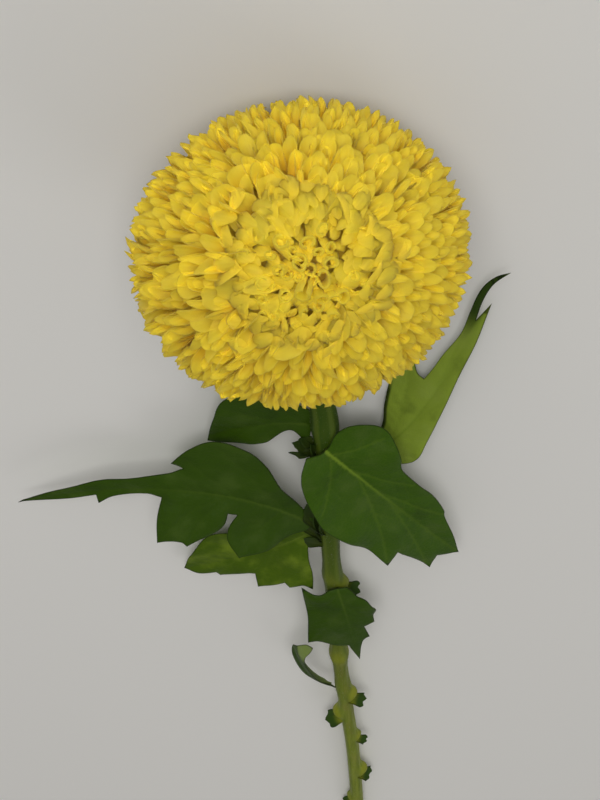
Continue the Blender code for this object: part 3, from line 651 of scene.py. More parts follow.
def skin(polar, around, share=1.0):
    """Points of the bloom's outer shape, by the angle from the eye and the angle round the axis."""
    polar, around, share = np.broadcast_arrays(polar, around, share)
    way = np.stack([np.sin(polar) * np.cos(around), np.sin(polar) * np.sin(around), np.cos(polar)], -1)
    half = np.stack(
        [
            np.full(polar.shape, BLOOM_WIDE / 2),
            np.full(polar.shape, BLOOM_TALL / 2),
            np.where(way[..., 2] > 0, BLOOM_FRONT, BLOOM_BACK),
        ],
        -1,
    )
    reach = np.linalg.norm(way / half, axis=-1, keepdims=True)
    return CENTRE + (way * share[..., None] / reach) @ AXES.T


def floret_angles(count):
    """Angles from the eye that spread the florets evenly over the bloom's area, and closer in the eye."""
    polar = np.linspace(0, math.radians(LAST_FLORET), 800)
    radius = np.linalg.norm(skin(polar, 0.8) - CENTRE, axis=-1)
    crowding = np.where(polar < math.radians(EYE), EYE_CROWDING, 1.0)
    covered = np.cumsum(radius**2 * np.sin(polar) * crowding)
    return np.interp((np.arange(count) + 0.5) / count, covered / covered[-1], polar)


def direction(polar, around):
    wide = math.sin(polar)
    return np.array((wide * math.cos(around), wide * math.sin(around), math.cos(polar)))


def smooth(value, low, high):
    """0 below low, 1 above high and a soft rise between them."""
    share = min(max((value - low) / (high - low), 0.0), 1.0)
    return share * share * (3 - 2 * share)


SWAY_WAYS = rng.normal(0, SWAY_PITCH, (2, SWAY_WAVES, 3))
SWAY_STARTS = rng.uniform(0, 2 * math.pi, (2, SWAY_WAVES))


def sway(polar, around):
    """How far the florets of this clump lean outward and aside, about -1 to 1 each."""
    return np.sin(SWAY_WAYS @ direction(polar, around) + SWAY_STARTS).sum(1) / math.sqrt(SWAY_WAVES)


def floret_path(polar, around, lean, aside, end, reach, crown=None):
    """A floret's middle line, from the bloom's heart to its tip. lean, aside: in radians.

    end, crown: how far aside and how far out the line is steered before its tip.
    """
    steer = ((0.0, 0.0), (0.1, 0.5), (end, 0.93 - 0.08 * end if crown is None else crown), (1.0, 1.0))
    even = bezier(steer, np.linspace(0, 1, PATH_POINTS))
    bend = aside / max(math.sin(polar), 0.35)
    return skin(
        polar - lean + lean * even[:, 0],
        around + bend * even[:, 0] ** 2,
        FLORET_ROOT + (reach - FLORET_ROOT) * even[:, 1],
    )


def across_path(path, polar, around):
    """The direction across a floret, so that its hollow side is towards the eye."""
    outward = unit(skin(polar + 0.01, around) - skin(polar, around))
    return unit(np.cross(unit(path[-1] - path[0]), -outward))


def on_table(inner, outer, places):
    """Florets that would reach below the surface that the bloom lies on are pressed flat there."""
    inner[..., 2] = np.maximum(inner[..., 2], FLORET_THICK)
    outer[..., 2] = np.maximum(outer[..., 2], 0.0)
    return inner, outer, places


def lipped(path, inner, outer, places):
    """The same floret with a rounded lip at its mouth."""
    depth = outer[-1] - inner[-1]
    push = unit(path[-1] - path[-3]) * np.linalg.norm(depth, axis=-1, keepdims=True) * QUILL_LIP
    inner = np.concatenate([inner, (inner[-1] + depth * QUILL_LIP + push)[None]])
    outer = np.concatenate([outer, (outer[-1] - depth * QUILL_LIP + push)[None]])
    return inner, outer, np.concatenate([places, places[-1:]])


def quill(polar, around, half, flat, turn, lean, reach):
    """A floret of the eye, rolled into a fleshy tube with an open mouth."""
    path = floret_path(polar, around, lean, rng.normal(0, 0.02), 0.8, reach)
    side = across_path(path, polar, around)
    shape = rounded_end(rng.uniform(0.04, 0.14), 1.5)
    widths = QUILL_WIDTHS * half
    arcs = (*QUILL_ARCS, rng.uniform(2.5, 2.9))
    more = dict(twist=turn, flat=flat, wave=0.15, columns=17, thick=QUILL_THICK, rim=0.75)
    parts = shell(path, side, widths, arcs, shape, rng.uniform(), **more)
    return on_table(*lipped(path, *parts))


def filling_quill(polar, around):
    """A smaller quill between the eye's own ones."""
    lean, reach = math.radians(rng.uniform(-2, 4)), rng.uniform(*FILLING_REACH)
    half, flat, turn = rng.uniform(2.1, 2.8), rng.uniform(0.45, 0.95), rng.uniform(-2, 2)
    return quill(polar, around, half, flat, turn, lean, reach)


def growing_place(polar, around):
    """Degrees from the eye's middle that say what grows here: fewer on the left, and mixed farther out."""
    away = math.degrees(polar)
    left = max(-math.cos(around), 0.0) * smooth(away, 0, EYE)
    moved = INCURVED_SWAY * sway(polar, around)[0] - INCURVED_LEFT * left
    moved += rng.normal(0, INCURVED_MIXED) * smooth(away, *MIXING)
    return max(away + moved, 0.0)


def incurved(polar, around, size=1.0, depth=0.0):
    """A petal that bends in over the eye and shows its back."""
    lean = -math.radians(rng.uniform(*INCURVED_LEAN)) * size
    raised = INCURVED_RISE * smooth(math.degrees(polar), *RISING)
    reach = rng.uniform(*INCURVED_REACH) + raised - depth
    crown = rng.uniform(0.96, 1.01)
    path = floret_path(polar, around, lean, rng.normal(0, 0.05), rng.uniform(0.05, 0.3), reach, crown)
    side = across_path(path, polar, around)
    arc, half = rng.uniform(0.7, 1.3), rng.uniform(*INCURVED_HALF) * size
    widths = INCURVED_WIDTHS * half
    arcs = (arc + 1.0, arc + 0.6, arc + 0.2, arc, arc * rng.uniform(0.8, 1.2))
    shape = rounded_end(rng.uniform(0.16, 0.34), rng.uniform(1.6, 2.8))
    more = dict(twist=rng.normal(0, 0.35), keel=rng.uniform(0.3, 1.6), wave=0.3)
    # A tone above 1 gives it the warmer, brighter colour of painted bounce light.
    parts = shell(path, side, widths, arcs, shape, rng.uniform(*BOUNCE_LIT_BACK_TONES), **more)
    return on_table(*parts)


def lobe(polar, around):
    """A small petal low under the others."""
    return incurved(polar, around, LOBE_SIZE, LOBE_DEPTH)


def floret(polar, around):
    """One that leans outward: flat, keeled or hooded, and more rolled the closer it is to the eye."""
    away = math.degrees(polar)
    rolled = 1 - smooth(away, ROLLED_END / 2, ROLLED_END)
    laid = 1 - smooth(away, EYE, LAID_END)
    hanging = smooth(away, *HANGING)
    rim = smooth(away, *RIM_START) * (1 - smooth(away, *RIM_END))
    calm = smooth(math.sin(polar) * math.cos(around), *CALM_SIDE)
    pick = rng.uniform()
    for kind in FLORET_KINDS:
        pick -= kind["wild"] + (kind["calm"] - kind["wild"]) * calm
        if pick < 0:
            break
    outer_lean, side_lean = sway(polar, around)
    wild = 1.0 - 0.75 * calm
    lean = math.radians(rng.uniform(*FLORET_LEAN) + 3.5 * outer_lean * wild)
    lean *= smooth(away, 8, 38) * 0.6 + 0.4 + 0.35 * laid - 0.25 * hanging
    aside = math.radians(rng.normal(0, 2.2) + 2.6 * side_lean) * wild
    least, most = FLORET_REACH
    reach = rng.uniform(least + 0.015 * rim, most + 0.015 * rim) + 0.006 * hanging
    end = rng.uniform(*kind["end"]) * (1 - 0.65 * laid)
    path = floret_path(polar, around, lean, aside, end, reach, 0.93 - 0.08 * end + 0.05 * laid)
    side = across_path(path, polar, around)
    twist = (rng.normal(0, 0.55) + 0.35 * side_lean) * wild
    half = kind["half"] + (RIM_HALF - kind["half"]) * rim
    blade = half * rng.uniform(0.75, 1.16) * (1.0 - 0.15 * rolled)
    arc = rng.uniform(*kind["arc"]) + 0.9 * rolled * rng.uniform(0.4, 1.0) + 0.3 * rim
    widths = FLORET_WIDTHS * blade
    arcs = (min(arc + 1.3, 2.9), min(arc + 0.8, 2.8), arc + 0.2, arc, arc * rng.uniform(0.7, 1.1))
    cut = rng.uniform(*kind["cut"]) + 0.2 * rim
    power = max(rng.uniform(*kind["blunt"]) - 1.0 * rim, 1.15)
    shape = rounded_end(cut, power, 0.06 * rng.uniform() ** 2)
    wave = rng.uniform(0.0, kind["wave"]) * wild
    parts = shell(path, side, widths, arcs, shape, rng.uniform(), twist=twist, keel=kind["keel"], wave=wave)
    return on_table(*parts)


def roomy(place, taken, own_room):
    """Whether a floret at the place keeps clear of those that were fitted in already."""
    return all(math.degrees(math.acos(min(other @ place, 1.0))) > room + own_room for other, room in taken)


def floret_spots():
    """Places in a golden-angle spiral, and what grows at each."""
    golden = math.pi * (3 - math.sqrt(5))
    spots = []
    for number, polar in enumerate(floret_angles(FLORETS)):
        polar = max(polar + rng.normal(0, SPIRAL_SHAKE), 0.01)
        around = number * golden + rng.normal(0, SPIRAL_SHAKE_ROUND) / max(math.sin(polar), 0.2)
        spots.append((polar, around, growing_place(polar, around)))
    return spots


def add_florets(finish):
    """The eye's own quills, then all other florets, in rings from the eye to the back."""
    rings = (
        ("florets_eye", EYE),
        ("florets_inner", INNER_END),
        ("florets_outer", BACK_START),
        ("florets_back", LAST_FLORET + 9),
    )
    pieces = {name: Shells() for name, _ in rings}
    taken = []
    for polar, around, half, flat, turn, lean, reach in EYE_QUILLS:
        polar, around, turn, lean = (math.radians(value) for value in (polar, around, turn, lean))
        taken.append((direction(polar, around), QUILL_ROOM))
        pieces["florets_eye"].add(*quill(polar, around, half, flat, turn, lean, reach))
    spots = floret_spots()
    low = []
    for polar, around, growing in spots:
        place = direction(polar, around)
        if growing < LOBES_END and roomy(place, low, LOBE_ROOM):
            low.append((place, LOBE_ROOM))
            pieces["florets_eye"].add(*lobe(polar, around))
    own = list(taken)
    fillings = (
        (filling_quill, 0.0, FILLING_END, FILLING_ROOM),
        (incurved, INCURVED_START, INCURVED_END, INCURVED_ROOM),
        (floret, INCURVED_END, 180.0, FLORET_ROOM),
    )
    for grow, start, end, room in fillings:
        for polar, around, growing in spots:
            place = direction(polar, around)
            if not start <= growing < end or not roomy(place, taken, room):
                continue
            bodies = [direction(polar + math.radians(angle), around) for angle in INCURVED_BODY]
            if grow is incurved and not all(roomy(body, own, 0.0) for body in bodies):
                continue
            if grow is not floret or math.degrees(polar) < EYE:
                taken.append((place, room))
            piece = next(name for name, last in rings if math.degrees(polar) < last)
            pieces[piece].add(*grow(polar, around))
    for name, shells in pieces.items():
        dress(shells.mesh(name, finish), "florets", "bloom")


def add_core(finish):
    """The dense heart of floret bases, which shows only as colour deep between the florets: the roots'
    darker orange colour, painted shade there.
    """
    rows, columns = 30, 60
    polar = np.linspace(0, math.pi, rows)[1:-1, None]
    around = np.linspace(0, 2 * math.pi, columns, endpoint=False)[None, :]
    raised = near(polar, math.radians(EYE))
    share = CORE_SHARE + (EYE_CORE_SHARE - CORE_SHARE) * raised
    points = skin(polar, around, share).reshape(-1, 3)
    ends = [skin(0.0, 0.0, EYE_CORE_SHARE)[None], skin(math.pi, 0.0, CORE_SHARE)[None]]
    points = np.concatenate([points, *ends])
    behind_it = (points - CENTRE) @ AXES[:, 2]
    points += np.maximum(-CORE_END - behind_it, 0)[:, None] * AXES[:, 2]
    faces = [(a, d, c, b) for a, b, c, d in ring_faces(rows - 2, columns)]
    first, last = len(points) - 2, len(points) - 1
    for j in range(columns):
        k = (j + 1) % columns
        faces.append((first, j, k))
        faces.append((last, (rows - 3) * columns + k, (rows - 3) * columns + j))
    # The roots' colour: painted shade deep between the florets.
    places = np.tile((0.0, 0.0, 0.0), (len(points), 1))
    dress(add_mesh("bloom_heart", points, faces, finish, {"place": places}), "florets", "bloom")


def behind(distance):
    """The point on the bloom's axis this far behind its widest section."""
    return CENTRE - AXES[:, 2] * distance


# The stem


def curve_point(points, place):
    """A point on the smooth curve through the given points: place counts them, with a fraction."""
    first = min(int(place), len(points) - 2)
    part = place - first
    before = points[max(first - 1, 0)]
    start, end = points[first], points[first + 1]
    after = points[min(first + 2, len(points) - 1)]
    gap = np.linalg.norm(end - start)
    pull_in = (end - before) * gap / (gap + max(np.linalg.norm(start - before), 1e-6))
    pull_out = (after - start) * gap / (gap + max(np.linalg.norm(after - end), 1e-6))
    return hermite(start, pull_in, end, pull_out, part)


def stem_line():
    """Evenly spaced points along the stem's middle, and the distance of each from the bloom."""
    top = CORE_END + GAP + CUP_DEPTH + GAP
    points = [behind(top), behind(top + NECK_STRAIGHT)] + [np.array(point) for point in STEM_POINTS]
    fine = np.array([curve_point(points, i / 40) for i in range(40 * (len(points) - 1) + 1)])
    run = np.concatenate([[0], np.cumsum(np.linalg.norm(np.diff(fine, axis=0), axis=1))])
    distance = np.append(np.arange(0, run[-1] - STEM_STEP / 2, STEM_STEP), run[-1])
    return np.stack([np.interp(distance, run, fine[:, k]) for k in range(3)], 1), distance


def stem_radii(distance, y):
    """The stem's radius: it tapers away from the bloom and swells at each node."""
    knots, radii = zip(*STEM_RADII)
    swelling = sum(extra * near(y - node, NODE_SPREAD) for node, extra in NODES)
    return np.interp(distance, knots, radii) + swelling


def ring_frames(line):
    way = unit(np.gradient(line, axis=0))
    way[0] = unit(behind(1) - behind(0))
    level = unit(np.cross(way, (1.0, 0, 0)))
    return way, level, np.cross(level, way)


def bud_swellings(line, around):
    """How much the bud at each stripped leaf swells the stem, by place along it and round it."""
    total = np.zeros((len(line), len(around)))
    for y, round_angle, _, half_width in STUBS:
        along = near(line[:, 1] - y - BUD_AHEAD, half_width)
        turn = np.maximum(np.cos(around - math.radians(round_angle)), 0) ** 2
        total += BUD_SWELLING * half_width * along[:, None] * turn[None, :]
    return total


def cut_end(middle, way, rim, run):
    """Rings of points inside the rim of the square cut end, with their places, which give it paler pith."""
    points = [middle + (rim - middle) * share - way * sunk for share, sunk in CUT_RINGS]
    places = [np.tile((share, run, 1.0), (len(rim), 1)) for share, _ in CUT_RINGS]
    return points, places


def add_stem(finish):
    """A ribbed stem, closed at its hidden top and at its cut end."""
    line, distance = stem_line()
    radii = stem_radii(distance, line[:, 1])
    way, level, across = ring_frames(line)
    around = 2 * math.pi * np.arange(STEM_SIDES) / STEM_SIDES
    quarter = math.pi / (2 * STEM_RIBS)  # of the turn from one rib to the next
    rib = np.cos(STEM_RIBS * (around - 3 * quarter))
    grain = rng.normal(0, STEM_GRAIN, (len(line), STEM_SIDES))
    buds = bud_swellings(line, around)
    reach = radii[:, None] + RIB_HEIGHT * 0.5 * rib[None, :] + grain + buds
    swollen_nodes = radii - np.interp(distance, *zip(*STEM_RADII))
    swelling = buds + swollen_nodes[:, None] * 0.8
    turn = around[None, :, None]
    spokes = across[:, None] * np.cos(turn) + level[:, None] * np.sin(turn)
    rings = line[:, None] + spokes * reach[..., None]
    rings[..., 2] = np.maximum(rings[..., 2], 0.0)
    values = np.zeros((len(line), STEM_SIDES, 3))
    values[..., 0] = rib[None, :]
    values[..., 1] = distance[:, None]
    end_points, end_places = cut_end(line[-1], way[-1], rings[-1], distance[-1])
    middles = np.array([line[-1] - way[-1] * CUT_DEPTH, line[0]])
    points = [rings.reshape(-1, 3), *end_points, middles]
    places = [values.reshape(-1, 3), *end_places, np.array([(0.0, distance[-1], 1.0), (0.0, 0.0, 0.0)])]
    rows = len(line) + len(CUT_RINGS)
    faces = ring_faces(rows, STEM_SIDES)
    end, top = rows * STEM_SIDES, rows * STEM_SIDES + 1
    for j in range(STEM_SIDES):
        k = (j + 1) % STEM_SIDES
        faces.append((end, (rows - 1) * STEM_SIDES + j, (rows - 1) * STEM_SIDES + k))
        faces.append((top, k, j))
    points = np.concatenate(points)
    swollen = np.zeros(len(points))
    swollen[: swelling.size] = swelling.ravel()
    values = {"place": np.concatenate(places), "swelling": swollen}
    dress(add_mesh("stem_rind", points, faces, finish, values), "stem", "stem")
    return line, radii


def stem_side(line, radii, y, round_angle):
    """A place on the stem's middle, its radius, the way along it, outward, and what is flat on both."""
    i = int(np.argmin(np.abs(line[:, 1] - y)))
    way = unit(line[i + 1] - line[i - 1])
    across = unit(np.cross(way, (0, 0, 1.0)))
    up = np.cross(across, way)
    angle = math.radians(round_angle)
    out = unit(up * math.sin(angle) - across * math.cos(angle))
    flat = unit(np.cross(out, way))
    return line[i], radii[i], way, out, -flat if flat[2] < 0 else flat


def add_stubs(line, radii, finish):
    """The ragged remains of stripped leaves."""
    shells = Shells()
    for y, round_angle, length, half_width in STUBS:
        middle, radius, way, out, flat = stem_side(line, radii, y, round_angle)
        roll = math.radians(STUB_ROLL)
        side = way * math.cos(roll) + flat * math.sin(roll)
        face = flat * math.cos(roll) - way * math.sin(roll)
        share = np.linspace(0, 1, 12)[:, None]
        droop = math.radians(STUB_DROOP)
        grow = out * math.cos(droop) + way * math.sin(droop)
        path = middle + out * radius * 0.6 + grow * (length + radius * 0.4) * share - face * 0.8 * share**2
        phase = rng.uniform(0, 6)

        def shape(across):
            return 0.2 * np.abs(across) ** 2 + 0.16 * np.sin(3.1 * across + phase) ** 2

        widths = np.array((0.9, 0.85, 0.95, 0.85)) * half_width
        arcs = (1.5, 1.2, 0.7, 0.5)
        more = dict(thick=0.6, twist=0.2, wave=0.4, rows=14, columns=13)
        shells.add(*shell(path, side, widths, arcs, shape, rng.uniform(), **more))
    dress(shells.mesh("leaf_remains", finish), "leaf", "stem")


def add_axil_leaves(line, radii, finish):
    """Small young leaves, folded round each other where a leaf meets the stem."""
    shells = Shells()
    for y, round_angle, length, half_width, lean, roll in AXIL_LEAVES:
        middle, radius, way, out, flat = stem_side(line, radii, y, round_angle)
        lean, roll = math.radians(lean), math.radians(roll)
        grow = out * math.cos(lean) - way * math.sin(lean)
        share = np.linspace(0, 1, 14)[:, None]
        path = middle + out * radius * 0.7 + grow * length * share + out * 1.2 * share * (1 - share)
        side = unit(np.cross(grow, flat)) * math.cos(roll) + flat * math.sin(roll)
        phase = rng.uniform(0, 6)

        def shape(across):
            return 0.55 * np.abs(across) ** 1.3 + 0.05 * np.sin(7 * across + phase) ** 2

        widths = np.array((0.35, 0.5, 0.85, 1.0, 0.9)) * half_width
        more = dict(thick=0.45, keel=1.5, twist=0.3, wave=0.3, rows=14, columns=11)
        shells.add(*shell(path, side, widths, (1.4, 1.2, 0.9, 0.7, 0.5), shape, rng.uniform(), **more))
    dress(shells.mesh("axil_leaves", finish), "leaf", "stem")


def add_hairs(line, radii, finish):
    """The stem's fine down: closed three-sided hairs that lean towards the bloom."""
    spot = rng.uniform(1, len(line) - 2, HAIRS)
    first = spot.astype(int)
    part = (spot - first)[:, None]
    way, level, across = ring_frames(line)
    middle = line[first] * (1 - part) + line[first + 1] * part
    angle = rng.uniform(0, 2 * math.pi, HAIRS)[:, None]
    out = across[first] * np.cos(angle) + level[first] * np.sin(angle)
    round_it = level[first] * np.cos(angle) - across[first] * np.sin(angle)
    foot = middle + out * (radii[first][:, None] - HAIR_ROOT)
    lean = way[first] * rng.uniform(0.2, 0.9, (HAIRS, 1)) + round_it * rng.normal(0, 0.3, (HAIRS, 1))
    tip = foot + unit(out - lean) * (HAIR_LONG * rng.uniform(0.5, 1.2, (HAIRS, 1)) + HAIR_ROOT)
    keep = tip[:, 2] > 0.1
    corners = [
        foot + (way[first] * math.cos(turn) + round_it * math.sin(turn)) * HAIR_THICK
        for turn in (0, 2 * math.pi / 3, 4 * math.pi / 3)
    ]
    points = np.stack([*corners, tip], 1)[keep].reshape(-1, 3)
    faces = []
    for i in range(0, len(points), 4):
        faces += [(i, i + 1, i + 3), (i + 1, i + 2, i + 3), (i + 2, i, i + 3), (i + 2, i + 1, i)]
    places = np.tile((0.0, 0.5, 0.5), (len(points), 1))
    dress(add_mesh("stem_hairs", points, faces, finish, {"place": places}), "stem", "stem")


def add_bracts(finish):
    """A cup of narrow green bracts in three rows that lie against the bloom's underside."""
    top = CORE_END + GAP
    shells = Shells()
    for row, (count, out, length) in enumerate(BRACT_ROWS):
        for i in range(count):
            around = 2 * math.pi * (i + 0.5 * (row % 2)) / count + rng.normal(0, 0.05)
            spoke = AXES @ np.array((math.cos(around), math.sin(around), 0))
            side = AXES @ np.array((-math.sin(around), math.cos(around), 0))
            deep = row * 0.75
            share = np.linspace(0, 1, 14)
            radius = out + length * share
            depth = top + 4.6 + deep - (4.2 + deep * 0.2) * share**0.7 + 0.35 * rng.uniform() * share**3
            path = np.array([behind(d) + spoke * r for d, r in zip(depth, radius)])
            widths = np.array((1.1, 1.8, 2.0, 1.3)) * rng.uniform(0.9, 1.1)
            arcs = (0.5, 0.5, 0.45, 0.4)
            shape = rounded_end(0.5, 1.6)
            shells.add(*shell(path, side, widths, arcs, shape, rng.uniform(), thick=0.4, rows=9, columns=7))
    dress(shells.mesh("involucre", finish), "bracts", "bracts")


# Leaves


def leaf_places(leaf, share, aside):
    """Points on the leaf's middle surface and its upward directions there, for arrays of places."""
    p = [np.array(point, float) for point in leaf["midrib"]]
    c = np.clip(share, 0, 1)[:, None]
    r = 1 - c
    run = (p[1] - p[0]) * 3 * r * r + (p[2] - p[1]) * 6 * c * r + (p[3] - p[2]) * 3 * c * c
    middle = bezier(p, c[:, 0]) + run * (share[:, None] - c)
    way = unit(run)
    side = unit(np.cross(way, (0, 0, 1.0)))
    up = np.cross(side, way)
    first, last = leaf["tilt"]
    tilt = np.radians(first + (last - first) * c)
    fold = math.radians(leaf["fold"])
    across = side * np.cos(tilt) + up * np.sin(tilt)
    lift = up * np.cos(tilt) - side * np.sin(tilt)
    v = aside[:, None]
    return middle + across * v * math.cos(fold) + lift * np.abs(v) * math.sin(fold), lift


def smooth_outline(points, step):
    """A closed outline through the points, evenly spaced: rounded, but sharp where it turns hard."""
    count = len(points)
    runs = [points[(i + 1) % count] - points[i] for i in range(count)]
    sharp = []
    for i in range(count):
        before, after = runs[i - 1], runs[i]
        cosine = before @ after / (np.linalg.norm(before) * np.linalg.norm(after))
        sharp.append(math.degrees(math.acos(min(max(cosine, -1), 1))) > CORNER)
    outline = []
    for i in range(count):
        a, b = points[i], points[(i + 1) % count]
        length = np.linalg.norm(b - a)
        pull_a = unit(points[(i + 1) % count] - points[i - 1]) * length if not sharp[i] else b - a
        far = points[(i + 2) % count]
        pull_b = unit(far - a) * length if not sharp[(i + 1) % count] else b - a
        steps = max(int(round(length / step)), 1)
        outline += [hermite(a, pull_a, b, pull_b, k / steps) for k in range(steps)]
    return np.array(outline)


def pieces_of(lines, closed=False):
    """The starts and the ends of the straight pieces that make up the lines."""
    starts = [line if closed else line[:-1] for line in lines]
    ends = [np.roll(line, -1, axis=0) if closed else line[1:] for line in lines]
    return np.concatenate(starts), np.concatenate(ends)


def distances(points, starts, ends):
    """How far each flat point is from the nearest of the line pieces."""
    run = ends - starts
    ahead = points[:, None] - starts[None]
    part = np.clip(np.sum(ahead * run, -1) / np.maximum(np.sum(run * run, -1), 1e-12), 0, 1)
    return np.linalg.norm(ahead - part[..., None] * run, axis=-1).min(1)


def inside(points, outline):
    """Which flat points are within the outline."""
    x, y = points[:, :1], points[:, 1:]
    a, b = outline.T, np.roll(outline, -1, axis=0).T
    rise = np.where(a[1] == b[1], 1e-12, b[1] - a[1])
    crosses = ((a[1] > y) != (b[1] > y)) & (x < a[0] + (b[0] - a[0]) * (y - a[1]) / rise)
    return np.count_nonzero(crosses, axis=1) % 2 == 1


def leaf_veins(leaf, length, outline):
    """Lines of points: the midrib, a vein to each lobe, and finer ones that branch off both."""
    run = np.arange(0, length * 0.985, LEAF_STEP)
    main = [np.stack([run, np.zeros(len(run))], 1)]
    for start, end, aside in leaf["veins"]:
        a, c = np.array((start * length, 0.0)), np.array((end * length, aside))
        b = a + (c - a) * np.array((0.62, 0.4))
        count = max(int(np.linalg.norm(c - a) / LEAF_STEP), 3)
        t = np.linspace(0, 1, count)[:, None]
        main.append(a * (1 - t) ** 2 + b * 2 * t * (1 - t) + c * t * t)
    edges = pieces_of([outline], closed=True)
    fine = []
    for parent in main:
        for i in range(VEIN_GAP, len(parent) - 3, VEIN_GAP):
            way = unit(parent[i + 1] - parent[i - 1])
            for hand in (-1, 1):
                turn = hand * rng.uniform(*VEIN_TURN)
                step = way * math.cos(turn) + np.array((-way[1], way[0])) * math.sin(turn)
                here = parent[i + (hand > 0) * 2]
                line = [here]
                for _ in range(int(rng.uniform(*VEIN_LONG) / LEAF_STEP)):
                    step = unit(step * 0.97 + way * 0.045)
                    here = here + step * LEAF_STEP
                    others = [other for other in main + fine if other is not parent]
                    gaps = np.linalg.norm(np.concatenate([*others, [here + 99]]) - here, axis=1)
                    if np.min(gaps) < VEIN_APART * LEAF_STEP:
                        break
                    if not inside(here[None], outline)[0]:
                        break
                    if distances(here[None], *edges)[0] < VEIN_EDGE:
                        break
                    line.append(here)
                if len(line) > 3:
                    fine.append(np.array(line))
    return main, fine


def blade_mesh(outline, main, fine):
    """Flat points and triangles of a blade that has the veins along its mesh's edges."""
    edges = pieces_of([outline], closed=True)
    low, high = outline.min(0), outline.max(0)
    grid = []
    for row, v in enumerate(np.arange(low[1], high[1], LEAF_STEP * 0.87)):
        for u in np.arange(low[0] + LEAF_STEP / 2 * (row % 2), high[0], LEAF_STEP):
            grid.append((u, v))
    grid = np.array(grid) + rng.normal(0, GRID_SHAKE, (len(grid), 2))
    grid = grid[inside(grid, outline)]
    grid = grid[distances(grid, *edges) > LEAF_STEP * 0.55]
    grid = grid[distances(grid, *pieces_of(main + fine)) > LEAF_STEP * 0.5]

    def within(line):
        return inside(line, outline) & (distances(line, *edges) > RIM_CLEAR)

    lines = [main[0][1:][within(main[0][1:])]]
    for line in (main + fine)[1:]:
        keep = within(line)
        end = len(line) if keep.all() else int(np.argmin(keep))
        lines.append(line[:end] if keep[1:3].all() else line[:0])
    flat = [Vector(point) for point in outline]
    bound = [(i, (i + 1) % len(outline)) for i in range(len(outline))]
    for line in lines:
        first = len(flat)
        flat += [Vector(point) for point in line]
        bound += [(first + i, first + i + 1) for i in range(len(line) - 1)]
    flat += [Vector(point) for point in grid]
    points, _, triangles, *_ = geometry.delaunay_2d_cdt(flat, bound, [], 1, 1e-4)
    return np.array([tuple(point) for point in points]), triangles


def blade_relief(points, to_edge, to_main, to_fine):
    """How far the blade ripples and swells up, by its flat points and their distances to edge and veins."""
    along, aside = points.T
    phase = rng.uniform(0, 6, 4)
    wave = np.sin(along * 0.32 + phase[0]) * np.cos(aside * 0.21 + phase[1]) * 0.7
    wave += np.sin(along * 0.13 + aside * 0.17 + phase[2]) * 0.6
    wave *= np.clip(np.abs(aside) / 8, 0, 1)
    quilt = QUILT_FINE * (1 - np.exp(-to_fine / 1.3)) + QUILT_MAIN * (1 - np.exp(-to_main / 2.0))
    return wave + quilt - EDGE_DOWN * np.exp(-to_edge / 1.2)


def blade_faces(triangles, count):
    """The triangles on both sides, whose points are count apart, and the rim between them."""
    faces = [tuple(face) for face in triangles]
    faces += [tuple(i + count for i in reversed(face)) for face in triangles]
    sides = {(face[i], face[(i + 1) % 3]) for face in triangles for i in range(3)}
    for a, b in sorted(sides):
        if (b, a) not in sides:
            faces.append((b, a, a + count, b + count))
    return faces


def add_leaf(name, leaf, finish):
    """A thin blade: quilted between sunken veins above, with the veins standing out below."""
    samples, _ = leaf_places(leaf, np.linspace(0, 1, 40), np.zeros(40))
    length = float(np.sum(np.linalg.norm(np.diff(samples, axis=0), axis=1)))
    corners = [np.array((share * length, aside)) for share, aside in leaf["outline"]]
    outline = smooth_outline(corners, LEAF_STEP * 0.75)
    main, fine = leaf_veins(leaf, length, outline)
    points, triangles = blade_mesh(outline, main, fine)
    share, aside = points[:, 0] / length, points[:, 1]
    to_edge = distances(points, *pieces_of([outline], closed=True))
    to_midrib = distances(points, *pieces_of(main[:1]))
    to_main = distances(points, *pieces_of(main))
    to_fine = distances(points, *pieces_of(main + fine))
    place, up = leaf_places(leaf, share, aside)
    tip = np.clip(share, 0, 1)
    relief = blade_relief(points, to_edge, to_main, to_fine)
    rib = near(aside, 0.9) * (MIDRIB_HIGH - 1.0 * tip) + VEIN_HIGH * near(to_main, 0.55)
    rib += FINE_VEIN_HIGH * near(to_fine, 0.4)
    thin = 0.35 + 0.65 * np.clip(to_edge / 0.9, 0, 1)
    above = place + up * (relief + LEAF_THICK / 2 * thin)[:, None]
    below = place + up * (relief - (LEAF_THICK / 2 + rib) * thin)[:, None]
    above[:, 2] = np.maximum(above[:, 2], BLADE_CLEAR)
    below[:, 2] = np.maximum(below[:, 2], 0.0)
    midrib = near(to_midrib, 0.45) * np.clip(1 - tip / MIDRIB_FADES, 0, 1)
    branches = 0.6 * near(to_main, 0.5) + 0.4 * near(to_fine, 0.4)
    count = len(points)
    values = {
        "flat": np.concatenate([np.stack([points[:, 0], aside, np.full(count, s)], 1) for s in (1.0, 0.0)]),
        "vein": np.tile(np.stack([midrib, branches, to_edge], 1), (2, 1)),
    }
    faces = blade_faces(triangles, count)
    made = add_mesh(name + "_blade", np.concatenate([above, below]), faces, finish, values)
    dress(made, "leaf", name)


# Materials


